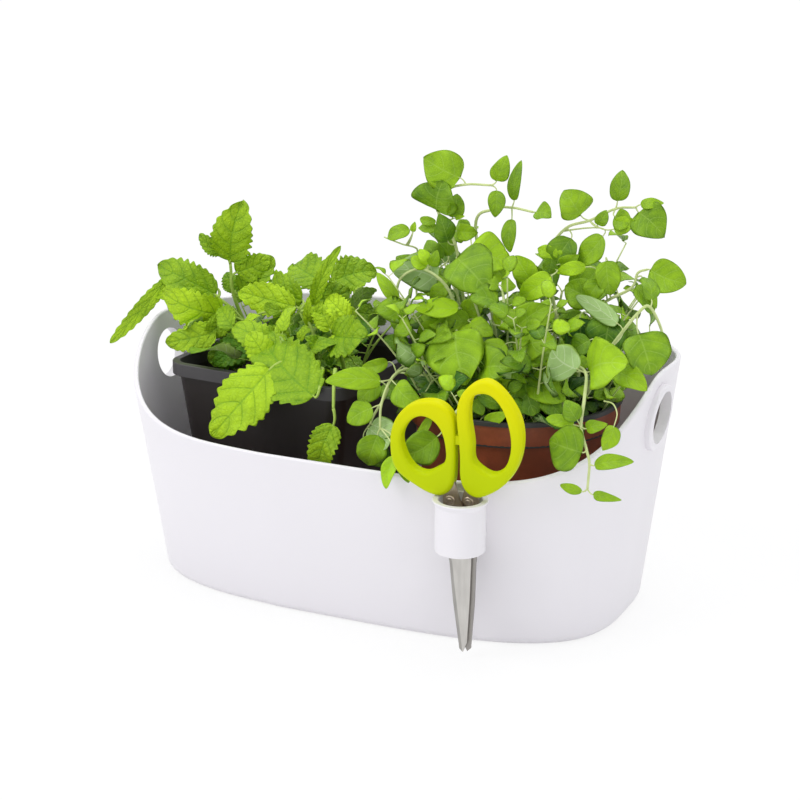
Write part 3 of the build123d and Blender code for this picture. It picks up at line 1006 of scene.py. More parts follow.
@dataclass
class Planting:
    """All sprigs of one herb in its pot."""

    herb: Herb
    body: str
    soil_node: str
    form: LeafForm
    leaf_finish: LeafFinish
    stem_finish: StemFinish
    stem_radius: float
    stem_corners: float
    stalk_radius: float
    sprigs: Sequence[Sprig]
    seen_stems: Sequence[SeenStem]
    seen_leaves: Sequence[SeenLeaf]
    thicket: Thicket
    thicket_form: LeafForm
    seed: int
    loose_roll: float = 22.0
    loose_tone: float = 0.14
    origin: np.ndarray = field(init=False)

    def __post_init__(self) -> None:
        """Find the middle of the soil's top from the frame."""
        low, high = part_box(self.soil_node)
        self.origin = np.array([(low.x + high.x) / 2, (low.y + high.y) / 2, high.z])

    def world(self, share: Point) -> np.ndarray:
        """Row frame place of a share."""
        return self.origin + np.array(share) * REACH

    def facing(self, forward: np.ndarray, roll: float) -> np.ndarray:
        """Direction of a leaf's upper side: towards the camera, rolled about the leaf.

        Args:
            forward: from the leaf's base to its tip.
            roll: the roll in degrees.

        Returns:
            The direction.
        """
        side = unit(np.cross(unit(forward), CAMERA.axes()[2]))
        normal = np.cross(side, unit(forward))
        angle = math.radians(roll)
        return normal * math.cos(angle) + side * math.sin(angle)

    def stalk(self, start: np.ndarray, base: np.ndarray, tip: np.ndarray) -> Surface:
        """Leaf stalk from the stem to the leaf.

        Its path is the quadratic curve whose middle point lies behind the leaf, on the leaf's own line.

        Args:
            start: where it leaves the stem.
            base: the leaf's base.
            tip: the leaf's tip.

        Returns:
            The stalk.
        """
        reach = float(np.linalg.norm(base - start))
        into = unit(tip - base)
        bend = base - into * reach * 0.45
        t = np.linspace(0, 1, 9)[:, None]
        path = (1 - t) ** 2 * start + 2 * t * (1 - t) * bend + t ** 2 * base
        path = np.concatenate([path, [base + into * 1.5 * MM]])
        radius = np.linspace(self.stalk_radius * 1.25, self.stalk_radius * 0.8, len(path))
        return tube(path, radius, 2.0, 6)

    def fill(self, paths: list[np.ndarray], random: np.random.Generator) -> tuple[list[Surface], list[Surface]]:
        """Leaves and stems that the photograph shows between the sprigs.

        Each leaf hangs by a stalk from the nearest stem point that isn't above it.

        Args:
            paths: the middle lines of the sprigs' stems.
            random: the seeded source of chance.

        Returns:
            Leaves and stems.
        """
        blades: list[Surface] = []
        stems: list[Surface] = []
        lines = list(paths)
        for stem in self.seen_stems:
            points = np.array([CAMERA.sight(point[:2], point[2] * MM) for point in stem.points])
            path = smooth_path(points, 8 * len(points))
            lines.append(path)
            radius = np.linspace(stem.radius, stem.radius * 0.7, len(path)) * MM
            stems.append(tube(path, radius, self.stem_corners, 8))
        spots = np.concatenate(lines)
        for leaf in self.seen_leaves:
            base = CAMERA.sight(leaf.base, leaf.depth[0] * MM)
            tip = CAMERA.sight(leaf.tip, leaf.depth[1] * MM)
            above = np.maximum(spots[:, 2] - base[2], 0)
            start = spots[int(np.argmin(np.linalg.norm(spots - base, axis=1) + 2 * above))]
            blades.append(self.blade(leaf, base, tip, leaf.width * MM, random))
            stems.append(self.stalk(start, base, tip))
        return blades, stems

    def blade(
        self, leaf: Union["Leaf", "SeenLeaf"], base: np.ndarray, tip: np.ndarray, width: float,
        random: np.random.Generator,
    ) -> Surface:
        """One placed leaf, rolled, cupped and toned a little by chance.

        Args:
            leaf: what the table says of it.
            base: where its stalk ends.
            tip: its tip.
            width: its width as the photograph shows it.
            random: the seeded source of chance.

        Returns:
            The leaf.
        """
        roll = random.uniform(-self.loose_roll, self.loose_roll)
        facing = self.facing(tip - base, roll) * (-1 if leaf.turned_over else 1)
        phase = float(random.uniform(0, FULL_TURN))
        tone = leaf.tone + float(random.uniform(-self.loose_tone, self.loose_tone))
        arch = leaf.arch * float(random.uniform(0.5, 1.7))
        return self.form.surface(base, tip, width / math.cos(math.radians(roll)), facing, phase, tone, arch)

    def build(self) -> None:
        """Make every sprig: one piece for its leaves and one for its stems."""
        leaf_material = self.leaf_finish.material()
        stem_material = self.stem_finish.material()
        random = np.random.default_rng(self.seed)
        paths = []
        for sprig in self.sprigs:
            stem = np.array([self.world(point) for point in sprig.stem])
            path = smooth_path(stem, 8 * len(stem))
            paths.append(path)
            radius = np.linspace(self.stem_radius, self.stem_radius * 0.6, len(path))
            stems = [tube(path, radius, self.stem_corners, 10)]
            blades = []
            for leaf in sprig.leaves:
                base, tip = self.world(leaf.base), self.world(leaf.tip)
                blades.append(self.blade(leaf, base, tip, leaf.width * REACH, random))
                stems.append(self.stalk(stem[leaf.stem_point], base, tip))
            leaves = make_piece(sprig.node + "_leaves", Surface.joined(blades), leaf_material)
            dress(leaves, self.body, [sprig.node])
            stalks = make_piece(sprig.node + "_stems", Surface.joined(stems), stem_material)
            dress(stalks, self.body)
        grown = self.thicket.grow(self.origin, self.thicket_form, self.stem_radius * 0.8, random)
        for place, (blades, stems) in (("thicket", grown), ("inner", self.fill(paths, random))):
            for word, parts, material in (("leaves", blades, leaf_material), ("stems", stems, stem_material)):
                piece = make_piece(f"{self.herb.value}_{place}_{word}", Surface.joined(parts), material)
                dress(piece, self.body)


BALM_SPRIGS = [
    Sprig("balm_sprig_tall", [(-.40, .12, -.02), (-.50, .08, .30), (-.58, .05, .54), (-.60, .05, .76)], [
        Leaf(3, (-.60, .05, .78), (-.47, 0, 1.21), .29, .45),
        Leaf(3, (-.64, .03, .84), (-.76, -.08, .97), .12, .45),
        Leaf(2, (-.56, .06, .70), (-.34, .14, .80), .20, .6),
    ]),
    Sprig("balm_sprig_left", [(-.36, 0, -.02), (-.43, -.02, .30), (-.50, -.08, .46), (-.60, -.13, .56)], [
        Leaf(3, (-.62, -.13, .58), (-1.06, -.19, .75), .27, .4),
        Leaf(3, (-.66, -.15, .56), (-1.03, -.27, .58), .13, .4),
        Leaf(3, (-.98, -.16, .66), (-1.32, -.40, .21), .11, .5, arch=1.6),
        Leaf(2, (-.54, -.20, .47), (-.90, -.38, .61), .27, .75),
        Leaf(1, (-.50, -.34, .38), (-.83, -.47, .30), .20, .55),
        Leaf(1, (-.36, -.18, .28), (-.54, -.38, .18), .24, .1),
    ]),
    Sprig("balm_sprig_middle", [(.20, -.08, -.02), (.18, -.12, .27), (.11, -.15, .42), (.04, -.15, .54)], [
        Leaf(3, (.02, -.16, .57), (-.46, -.12, .62), .23, .65),
        Leaf(3, (.03, -.09, .60), (-.35, .10, .68), .25, .5),
        Leaf(3, (.09, -.08, .60), (.31, .08, .66), .25, .45),
        Leaf(3, (.14, -.14, .58), (.34, -.16, 1.00), .10, .6),
    ]),
    Sprig("balm_sprig_right", [(.40, -.12, -.02), (.38, -.20, .25), (.35, -.25, .42)], [
        Leaf(2, (.36, -.29, .44), (.66, -.46, .51), .30, .45),
        Leaf(2, (.32, -.25, .46), (.19, -.22, .62), .17, .6),
        Leaf(2, (.42, -.18, .54), (.24, -.14, .66), .17, .9),
    ]),
    Sprig("balm_sprig_front", [(.28, -.30, -.02), (.36, -.48, .24), (.46, -.64, .31), (.50, -.76, .24)], [
        Leaf(3, (.48, -.80, .18), (-.05, -.54, .48), .42, .42),
        Leaf(2, (.12, -.72, .30), (-.19, -1.00, -.11), .35, .62),
    ]),
    Sprig("balm_sprig_hanging", [(.40, -.38, -.02), (.52, -.58, .30), (.59, -.74, .26), (.62, -.81, .12)], [
        Leaf(3, (.63, -.83, .02), (.53, -.89, -.30), .20, .6),
    ]),
    Sprig("balm_sprig_back", [(-.10, .30, -.02), (-.08, .36, .38), (-.05, .38, .58)], [
        Leaf(2, (-.07, .40, .61), (-.38, .56, .68), .29, .4),
        Leaf(2, (0, .41, .61), (.28, .54, .70), .27, .4),
        Leaf(1, (-.08, .44, .42), (-.08, .76, .46), .29, .4),
        Leaf(1, (-.02, .42, .36), (.26, .64, .34), .23, .4),
    ]),
]

OREGANO_SPRIGS = [
    Sprig("oregano_sprig_tall_left", [
        (-.20, .05, -.02), (-.30, .05, .40), (-.40, .05, .83), (-.45, .05, 1.13),
        (-.57, .05, 1.33), (-.51, .05, 1.48), (-.38, .05, 1.53), (-.19, 0, 1.55),
    ], [
        Leaf(6, (-.42, .05, 1.57), (-.66, 0, 1.69), .26),
        Leaf(4, (-.58, .04, 1.35), (-.52, 0, 1.55), .30, .45),
        Leaf(4, (-.47, .05, 1.31), (-.43, .04, 1.46), .11, .4),
        Leaf(7, (-.15, 0, 1.52), (-.14, -.05, 1.36), .11, .5),
        Leaf(7, (-.15, 0, 1.58), (-.08, 0, 1.74), .12, .45),
        Leaf(3, (-.48, 0, 1.16), (-.51, -.05, 1.34), .14, .2),
    ]),
    Sprig("oregano_sprig_tall_arc", [
        (-.12, .10, -.02), (-.20, .12, .60), (-.34, .12, 1.24), (-.20, .08, 1.38), (-.06, .04, 1.41), (.11, -.03, 1.41),
    ], [
        Leaf(4, (-.04, .03, 1.46), (.01, 0, 1.71), .08, .4),
        Leaf(4, (-.05, .02, 1.34), (-.04, -.04, 1.14), .09, .45),
        Leaf(5, (.13, -.03, 1.41), (.24, -.05, 1.40), .12, .45),
        Leaf(2, (-.38, .14, 1.22), (-.54, .20, 1.18), .15, .4),
    ]),
    Sprig("oregano_sprig_left", [(-.28, .12, -.02), (-.42, .16, .50), (-.50, .16, .84), (-.58, .18, .96)], [
        Leaf(3, (-.60, .18, .99), (-.73, .20, 1.10), .13, .4),
        Leaf(3, (-.62, .16, .92), (-.66, .08, .76), .22, .5),
        Leaf(3, (-.56, .20, 1.01), (-.62, .26, 1.22), .12, .4),
        Leaf(2, (-.50, .22, .84), (-.44, .36, .92), .22, .4),
    ]),
    Sprig("oregano_sprig_centre", [(-.08, -.05, -.02), (-.16, -.14, .60), (-.30, -.18, 1.04)], [
        Leaf(2, (-.34, -.18, 1.10), (-.08, -.30, .95), .33, .5),
        Leaf(2, (-.28, -.14, 1.12), (-.04, -.06, 1.08), .26, .85),
        Leaf(1, (-.24, -.20, .70), (-.54, -.30, .74), .18, .8),
    ]),
    Sprig("oregano_sprig_front", [(.02, -.22, -.02), (-.06, -.36, .38), (-.20, -.42, .66)], [
        Leaf(2, (-.23, -.44, .70), (-.08, -.64, .43), .36, .5),
        Leaf(1, (-.02, -.50, .50), (.20, -.62, .58), .24, .55),
    ]),
    Sprig("oregano_sprig_front_right", [(.20, -.16, -.02), (.20, -.30, .45), (.16, -.38, .72)], [
        Leaf(2, (.17, -.41, .76), (.38, -.46, .93), .18, .6),
        Leaf(2, (.20, -.44, .66), (.44, -.50, .74), .22, .5),
        Leaf(1, (.28, -.44, .44), (.54, -.56, .38), .20, .45),
    ]),
    Sprig("oregano_sprig_top_right", [
        (.18, .06, -.02), (.24, .08, .63), (.20, .10, .89), (.19, .10, 1.15),
        (.29, .10, 1.30), (.44, .10, 1.36), (.61, .10, 1.45), (.74, .10, 1.47),
    ], [
        Leaf(6, (.62, .10, 1.50), (.64, .10, 1.69), .12, .45),
        Leaf(5, (.38, .10, 1.39), (.30, .05, 1.55), .22, .5),
        Leaf(7, (.76, .10, 1.44), (.94, .05, 1.32), .23, .45),
        Leaf(7, (.77, .10, 1.49), (.91, .10, 1.52), .07, .5),
        Leaf(6, (.62, .06, 1.41), (.74, .04, 1.38), .13, .5),
        Leaf(4, (.33, .08, 1.24), (.24, .03, 1.04), .18, .35),
        Leaf(2, (.14, .08, .90), (.02, .02, 1.08), .18, .5),
    ]),
    Sprig("oregano_sprig_right", [
        (.34, .08, -.02), (.46, .04, .60), (.56, .02, .84), (.76, 0, .98), (.80, 0, 1.08), (.86, 0, 1.11),
    ], [
        Leaf(5, (.88, 0, 1.11), (1.11, 0, 1.05), .21, .5),
        Leaf(3, (.79, 0, 1.00), (.92, 0, .84), .11, .4),
        Leaf(2, (.52, 0, .88), (.34, -.04, .96), .20, .5),
        Leaf(1, (.54, -.04, .58), (.76, -.14, .64), .26, .35),
    ]),
    Sprig("oregano_sprig_hanging", [
        (.38, -.22, -.02), (.50, -.38, .50), (.68, -.58, .58), (.74, -.76, .47),
        (.76, -.86, .33), (.82, -.92, .21), (.85, -.95, .14), (.85, -.97, -.01),
    ], [
        Leaf(2, (.72, -.61, .60), (.95, -.68, .70), .30, .6),
        Leaf(2, (.64, -.60, .60), (.48, -.66, .72), .24, turned_over=True),
        Leaf(5, (.80, -.94, .20), (.60, -.98, .25), .28, .5),
        Leaf(4, (.72, -.87, .34), (.55, -.90, .37), .08, .6),
        Leaf(4, (.74, -.87, .37), (.67, -.88, .49), .12, .45),
        Leaf(4, (.80, -.88, .33), (.93, -.91, .38), .08, .5),
        Leaf(6, (.89, -.97, .14), (1.12, -1.00, .21), .09, .6),
        Leaf(7, (.82, -.98, -.03), (.69, -1.01, 0), .06, .6),
        Leaf(7, (.89, -.98, -.04), (1.06, -1.01, -.04), .06, .6),
    ]),
    Sprig("oregano_sprig_over_ear", [
        (.44, -.08, -.02), (.62, -.24, .50), (.78, -.36, .72), (.92, -.34, .92),
        (.98, -.29, .95), (1.04, -.21, .76), (.96, -.13, .64),
    ], [
        Leaf(3, (.94, -.38, .80), (1.06, -.46, .58), .29, .4),
        Leaf(2, (.84, -.48, .58), (1.06, -.58, .54), .15, .6),
        Leaf(4, (.98, -.27, .99), (.90, -.19, 1.12), .11, .4),
    ]),
    Sprig("oregano_sprig_front_left", [
        (-.22, -.30, -.02), (-.36, -.45, .44), (-.50, -.60, .46), (-.55, -.72, .42), (-.57, -.82, .28),
        (-.56, -.86, .14),
    ], [
        Leaf(3, (-.59, -.78, .42), (-.90, -.94, .42), .14, .7),
        Leaf(3, (-.50, -.75, .40), (-.32, -.80, .30), .16, .5),
        Leaf(4, (-.62, -.84, .26), (-.78, -.88, .15), .15, .5),
        Leaf(5, (-.57, -.88, .10), (-.63, -.92, -.10), .19, .4),
    ]),
    Sprig("oregano_sprig_low", [(.04, -.36, -.02), (0, -.56, .34), (-.06, -.74, .32), (-.14, -.84, .18)], [
        Leaf(3, (-.17, -.86, .14), (-.37, -.90, 0), .21, .5),
    ]),
    Sprig("oregano_sprig_back", [(.08, .30, -.02), (.12, .36, .46), (.16, .40, .80)], [
        Leaf(2, (.20, .42, .83), (.46, .54, .90), .25, .4),
        Leaf(2, (.12, .42, .84), (-.10, .56, .92), .25, .4),
        Leaf(1, (.14, .42, .50), (.30, .68, .54), .24, .4),
        Leaf(1, (.06, .40, .48), (-.16, .62, .54), .24, .4),
    ]),
]

BALM_FORM = LeafForm(
    base_fullness=0.40, tip_fullness=0.60, teeth=9, tooth_depth=0.15, fold=0.12, arch=0.08, curl=0.10, wave=0.07,
    bend=0.05, vein_pairs=5.0, vein_lean=0.30, quilt=0.022, thickness=0.45 * MM, along=97, across=27,
)
OREGANO_FORM = LeafForm(
    base_fullness=0.50, tip_fullness=0.74, teeth=1, tooth_depth=0.0, fold=0.18, arch=0.10, curl=0.12, wave=0.06,
    bend=0.07, vein_pairs=3.5, vein_lean=0.38, quilt=0.012, thickness=0.5 * MM, along=30, across=13,
)

BALM_SEEN_STEMS = [
    SeenStem([(262, 352, 0), (258, 338, -4), (250, 320, -8), (242, 320, -9), (228, 313, -10)], 1.0),
    SeenStem([(250, 320, -8), (262, 313, -10), (282, 311, -12)], 1.0),
    SeenStem([(350, 388, -40), (338, 389, -50), (326, 391, -62)], 0.9),
    SeenStem([(318, 362, -20), (313, 332, -18), (306, 318, -16)], 1.3),
]
BALM_SEEN_LEAVES = [
    SeenLeaf((216, 288), (159, 264), (4, 2), 15, 0.40, arch=0.7),
    SeenLeaf((242, 294), (271, 257), (22, 26), 23, 0.50),
    SeenLeaf((236, 292), (226, 272), (20, 22), 13, 0.40),
    SeenLeaf((258, 333), (211, 363), (-14, -30), 22, 0.05),
    SeenLeaf((317, 330), (331, 364), (-12, -22), 14, 0.05),
    SeenLeaf((309, 326), (309, 298), (-16, -18), 7, 0.85),
    SeenLeaf((313, 322), (322, 302), (-14, -14), 6, 0.75),
    SeenLeaf((268, 362), (249, 333), (-50, -54), 20, 0.55),
    SeenLeaf((226, 317), (205, 336), (-20, -28), 15, 0.60),
    SeenLeaf((282, 311), (262, 305), (-12, -10), 9, 0.55),
]
OREGANO_SEEN_STEMS = [
    SeenStem([(417, 300, -4), (415, 262, 0), (417, 249, 0), (402, 244, -5), (384, 237, -8)], 0.7),
    SeenStem([
        (457, 310, -20), (446, 286, -18), (430, 272, -16), (417, 269, -16), (401, 278, -17), (396, 295, -18),
        (394, 313, -20),
    ], 1.1),
    SeenStem([(396, 295, -18), (386, 300, -19), (377, 306, -20)], 0.6),
    SeenStem([(396, 295, -18), (404, 300, -19), (413, 307, -20)], 0.6),
    SeenStem([(502, 328, -30), (504, 305, -28), (502, 287, -25)], 1.1),
    SeenStem([(388, 388, -60), (383, 400, -66), (374, 415, -78), (370, 425, -82)], 1.0),
    SeenStem([(452, 372, -48), (434, 380, -54), (428, 388, -56), (424, 394, -58)], 0.6),
    SeenStem([(530, 358, -36), (505, 368, -44), (480, 380, -52)], 0.7),
    SeenStem([(604, 401, -72), (613, 404, -76), (617, 414, -79), (614, 426, -82)], 0.5),
    SeenStem([(396, 372, -50), (420, 375, -52), (440, 376, -50)], 0.6),
]
OREGANO_SEEN_LEAVES = [
    SeenLeaf((436, 222), (419, 219), (5, 5), 6, 0.6),
    SeenLeaf((437, 230), (418, 227), (5, 4), 8, 0.45),
    SeenLeaf((457, 231), (476, 233), (5, 3), 11, 0.55),
    SeenLeaf((455, 218), (464, 216), (5, 5), 4, 0.6),
    SeenLeaf((410, 230), (386, 237), (-6, -9), 10, 0.55),
    SeenLeaf((413, 232), (415, 222), (-6, -6), 4, 0.8),
    SeenLeaf((427, 266), (411, 257), (-15, -18), 9, 0.75),
    SeenLeaf((428, 265), (420, 249), (-15, -16), 8, 0.8),
    SeenLeaf((430, 266), (437, 251), (-14, -14), 8, 0.6),
    SeenLeaf((438, 280), (395, 269), (-15, -18), 25, 0.5, turned_over=True),
    SeenLeaf((409, 272), (397, 256), (-4, -6), 13, 0.45),
    SeenLeaf((398, 301), (376, 273), (-18, -20), 9, 0.55),
    SeenLeaf((459, 308), (413, 306), (-26, -34), 13, 0.95),
    SeenLeaf((499, 285), (483, 284), (-25, -28), 9, 0.45),
    SeenLeaf((501, 285), (515, 287), (-25, -27), 9, 0.5),
    SeenLeaf((447, 326), (417, 334), (-24, -34), 14, 0.5),
    SeenLeaf((504, 280), (473, 245), (-6, -10), 21, 0.85),
    SeenLeaf((532, 283), (515, 256), (-4, -6), 15, 0.65),
    SeenLeaf((551, 276), (518, 297), (-10, -18), 15, 0.85),
    SeenLeaf((554, 310), (513, 331), (-24, -36), 13, 0.8),
    SeenLeaf((549, 337), (514, 357), (-32, -44), 22, 0.6),
    SeenLeaf((525, 378), (535, 416), (-44, -56), 21, 0.35),
    SeenLeaf((521, 366), (501, 391), (-40, -50), 16, 0.5),
    SeenLeaf((555, 256), (537, 249), (5, 3), 9, 0.85),
    SeenLeaf((560, 264), (578, 256), (3, 1), 9, 0.75),
    SeenLeaf((552, 258), (550, 274), (4, 0), 11, 0.3),
    SeenLeaf((559, 258), (558, 247), (4, 4), 6, 0.7),
    SeenLeaf((603, 236), (576, 265), (10, 6), 15, 0.45),
    SeenLeaf((614, 229), (635, 221), (6, 4), 11, 0.6),
    SeenLeaf((598, 225), (606, 211), (8, 8), 8, 0.4),
    SeenLeaf((606, 261), (611, 295), (4, -2), 16, 0.5),
    SeenLeaf((600, 281), (587, 301), (0, -6), 13, 0.4),
    SeenLeaf((586, 267), (556, 273), (2, -4), 9, 0.85),
    SeenLeaf((618, 324), (575, 297), (-16, -20), 12, 0.5, turned_over=True),
    SeenLeaf((642, 277), (657, 308), (2, -2), 6, 0.5),
    SeenLeaf((580, 318), (578, 359), (-12, -20), 23, 0.0),
    SeenLeaf((611, 315), (604, 359), (-8, -16), 25, 0.25),
    SeenLeaf((570, 369), (568, 356), (-38, -40), 8, 0.5),
    SeenLeaf((582, 369), (583, 356), (-38, -40), 8, 0.45),
    SeenLeaf((388, 362), (361, 368), (-48, -54), 9, 0.6),
    SeenLeaf((379, 383), (358, 403), (-62, -70), 14, 0.5),
    SeenLeaf((371, 424), (396, 431), (-82, -86), 14, 0.5, turned_over=True),
    SeenLeaf((368, 428), (389, 449), (-84, -90), 15, 0.6, turned_over=True),
    SeenLeaf((366, 420), (356, 411), (-80, -80), 9, 0.5, turned_over=True),
    SeenLeaf((366, 442), (389, 465), (-78, -84), 16, 0.15),
    SeenLeaf((431, 417), (413, 445), (-66, -74), 6, 0.7),
    SeenLeaf((505, 405), (476, 393), (-54, -60), 10, 0.3),
    SeenLeaf((484, 421), (507, 413), (-66, -68), 8, 0.65),
    SeenLeaf((473, 400), (483, 415), (-58, -62), 9, 0.35),
    SeenLeaf((614, 426), (603, 451), (-82, -88), 11, 0.65),
    SeenLeaf((405, 330), (392, 312), (-24, -26), 12, 0.35),
    SeenLeaf((408, 345), (384, 338), (-30, -36), 12, 0.3),
    SeenLeaf((424, 352), (402, 362), (-36, -42), 13, 0.4),
    SeenLeaf((430, 320), (409, 321), (-20, -26), 12, 0.45),
    SeenLeaf((436, 366), (430, 345), (-36, -38), 13, 0.45),
    SeenLeaf((470, 322), (492, 334), (-28, -34), 13, 0.65),
    SeenLeaf((494, 322), (517, 312), (-24, -26), 13, 0.75),
    SeenLeaf((462, 312), (484, 300), (-14, -14), 14, 0.55),
    SeenLeaf((395, 456), (385, 488), (-106, -118), 9, 0.75),
    SeenLeaf((401, 462), (409, 482), (-110, -118), 7, 0.35),
    SeenLeaf((537, 352), (520, 341), (-40, -44), 10, 0.65),
    SeenLeaf((506, 344), (478, 362), (-38, -48), 17, 0.7),
    SeenLeaf((545, 395), (560, 415), (-50, -56), 13, 0.2),
    SeenLeaf((590, 340), (571, 352), (-24, -30), 14, 0.15),
    SeenLeaf((622, 372), (634, 352), (-30, -34), 13, 0.3),
    SeenLeaf((446, 286), (430, 300), (-18, -22), 11, 0.6),
]


# Sub-assemblies


@dataclass
class Tub:
    """The moulded tub and its scissors sleeve."""

    nodes: Sequence[str] = ("planter_tub", "scissors_holder")
    finish: MouldedFinish = MouldedFinish(
        name="white_moulding", colour=(0.84, 0.812, 0.845), roughness=0.36, texture_scale=1600.0,
        texture_depth=0.02 * MM, cloud=0.02, coat=0.10, gloss=0.45,
    )

    def build(self) -> None:
        """Paint the two mouldings."""
        material = self.finish.material()
        for node in self.nodes:
            paint(node, material)


@dataclass
class Scissors:
    """Herb scissors: steel blades, screw and nut, and lime green loops."""

    handles: Sequence[str] = ("handle_small", "handle_large")
    blades: Sequence[str] = ("blade_front", "blade_back")
    fasteners: Sequence[str] = ("pivot_screw", "pivot_nut")
    lean: float = math.radians(5.0)
    boss_radius: float = 3.4 * MM
    boss_height: float = 1.1 * MM
    bosses: Sequence[tuple[str, str, Point]] = (
        ("left_shank_boss", "scissors_left", (0.0873, -0.11768, 0.1066)),
        ("right_shank_boss", "scissors_right", (0.0986, -0.11578, 0.1066)),
    )

    # The loops' yellower tops are a painted warm reflection, set by the second colour and the two heights.
    lime: MouldedFinish = MouldedFinish(
        name="lime_moulding", colour=(0.53, 0.65, 0.0), roughness=0.40, texture_scale=1100.0,
        texture_depth=0.03 * MM, cloud=0.10, coat=0.0, gloss=0.10, painted_light_colour=(0.74, 0.71, 0.0),
        heights=(120 * MM, 187 * MM),
    )
    # edge_place, edge_lean and edge_width set the strip of painted shade along each blade's bevel.
    front_steel: SteelFinish = SteelFinish(
        name="front_blade_steel", colour=(0.66, 0.64, 0.61), shank_colour=(0.42, 0.35, 0.27), shank_low=92 * MM,
        roughness=0.26, grind=(300.0, 300.0, 40.0), edge_place=91.1 * MM, edge_lean=-0.087, edge_width=2.2 * MM,
    )
    # Painted shade: the back blade takes a darker copy of the front steel because it lies in the front blade's shadow;
    # the screw, nut and bosses share it.
    shaded_back_steel: SteelFinish = replace(
        front_steel, name="shaded_back_blade_steel", colour=(0.40, 0.38, 0.36), roughness=0.30, edge_place=80 * MM,
        edge_width=MM,
    )

    def build(self) -> None:
        """Paint the pieces of the scissors and set the bosses on the shanks."""
        green = self.lime.material()
        for node in self.handles:
            paint(node, green)
        shaded_back_steel = self.shaded_back_steel.material()
        paint(self.blades[0], self.front_steel.material())
        for node in (self.blades[1], *self.fasteners):
            paint(node, shaded_back_steel)
        for name, body, place in self.bosses:
            piece = make_piece(name, self.boss(np.array(place)), shaded_back_steel)
            dress(piece, body)

    def boss(self, middle: np.ndarray) -> Surface:
        """Low round boss on a shank's front: height h * sqrt(1 - r^2) with a dished ring, closed behind.

        Args:
            middle: its middle on the shank.

        Returns:
            The boss.
        """
        share = np.concatenate([np.linspace(0.02, 1, 14), [1.0, 0.02]])
        rise = np.sqrt(np.maximum(1 - share ** 2, 0)) - 0.25 * np.exp(-((share - 0.55) / 0.12) ** 2)
        rise[-2:] = -0.2
        angle = np.linspace(0, FULL_TURN, 24, endpoint=False)
        across = np.array([1.0, 0.0, 0.0])
        along = np.array([0.0, -math.sin(self.lean), math.cos(self.lean)])
        front = np.array([0.0, -math.cos(self.lean), -math.sin(self.lean)])
        ring = across * np.cos(angle)[:, None] + along * np.sin(angle)[:, None]
        points = middle + ring[None] * (share * self.boss_radius)[:, None, None]
        points = points + front * (rise * self.boss_height)[:, None, None]
        count = len(share) * len(angle)
        walls = grid_quads(len(share), len(angle), close_columns=True)
        caps = [cap_quads(0, len(angle)), cap_quads(count - len(angle), len(angle))[:, ::-1]]
        uv = np.stack(np.meshgrid(share, angle, indexing="ij"), axis=-1).reshape(-1, 2)
        return Surface(points.reshape(-1, 3), np.concatenate([walls, *caps]), uv, np.zeros(count), np.zeros(count))


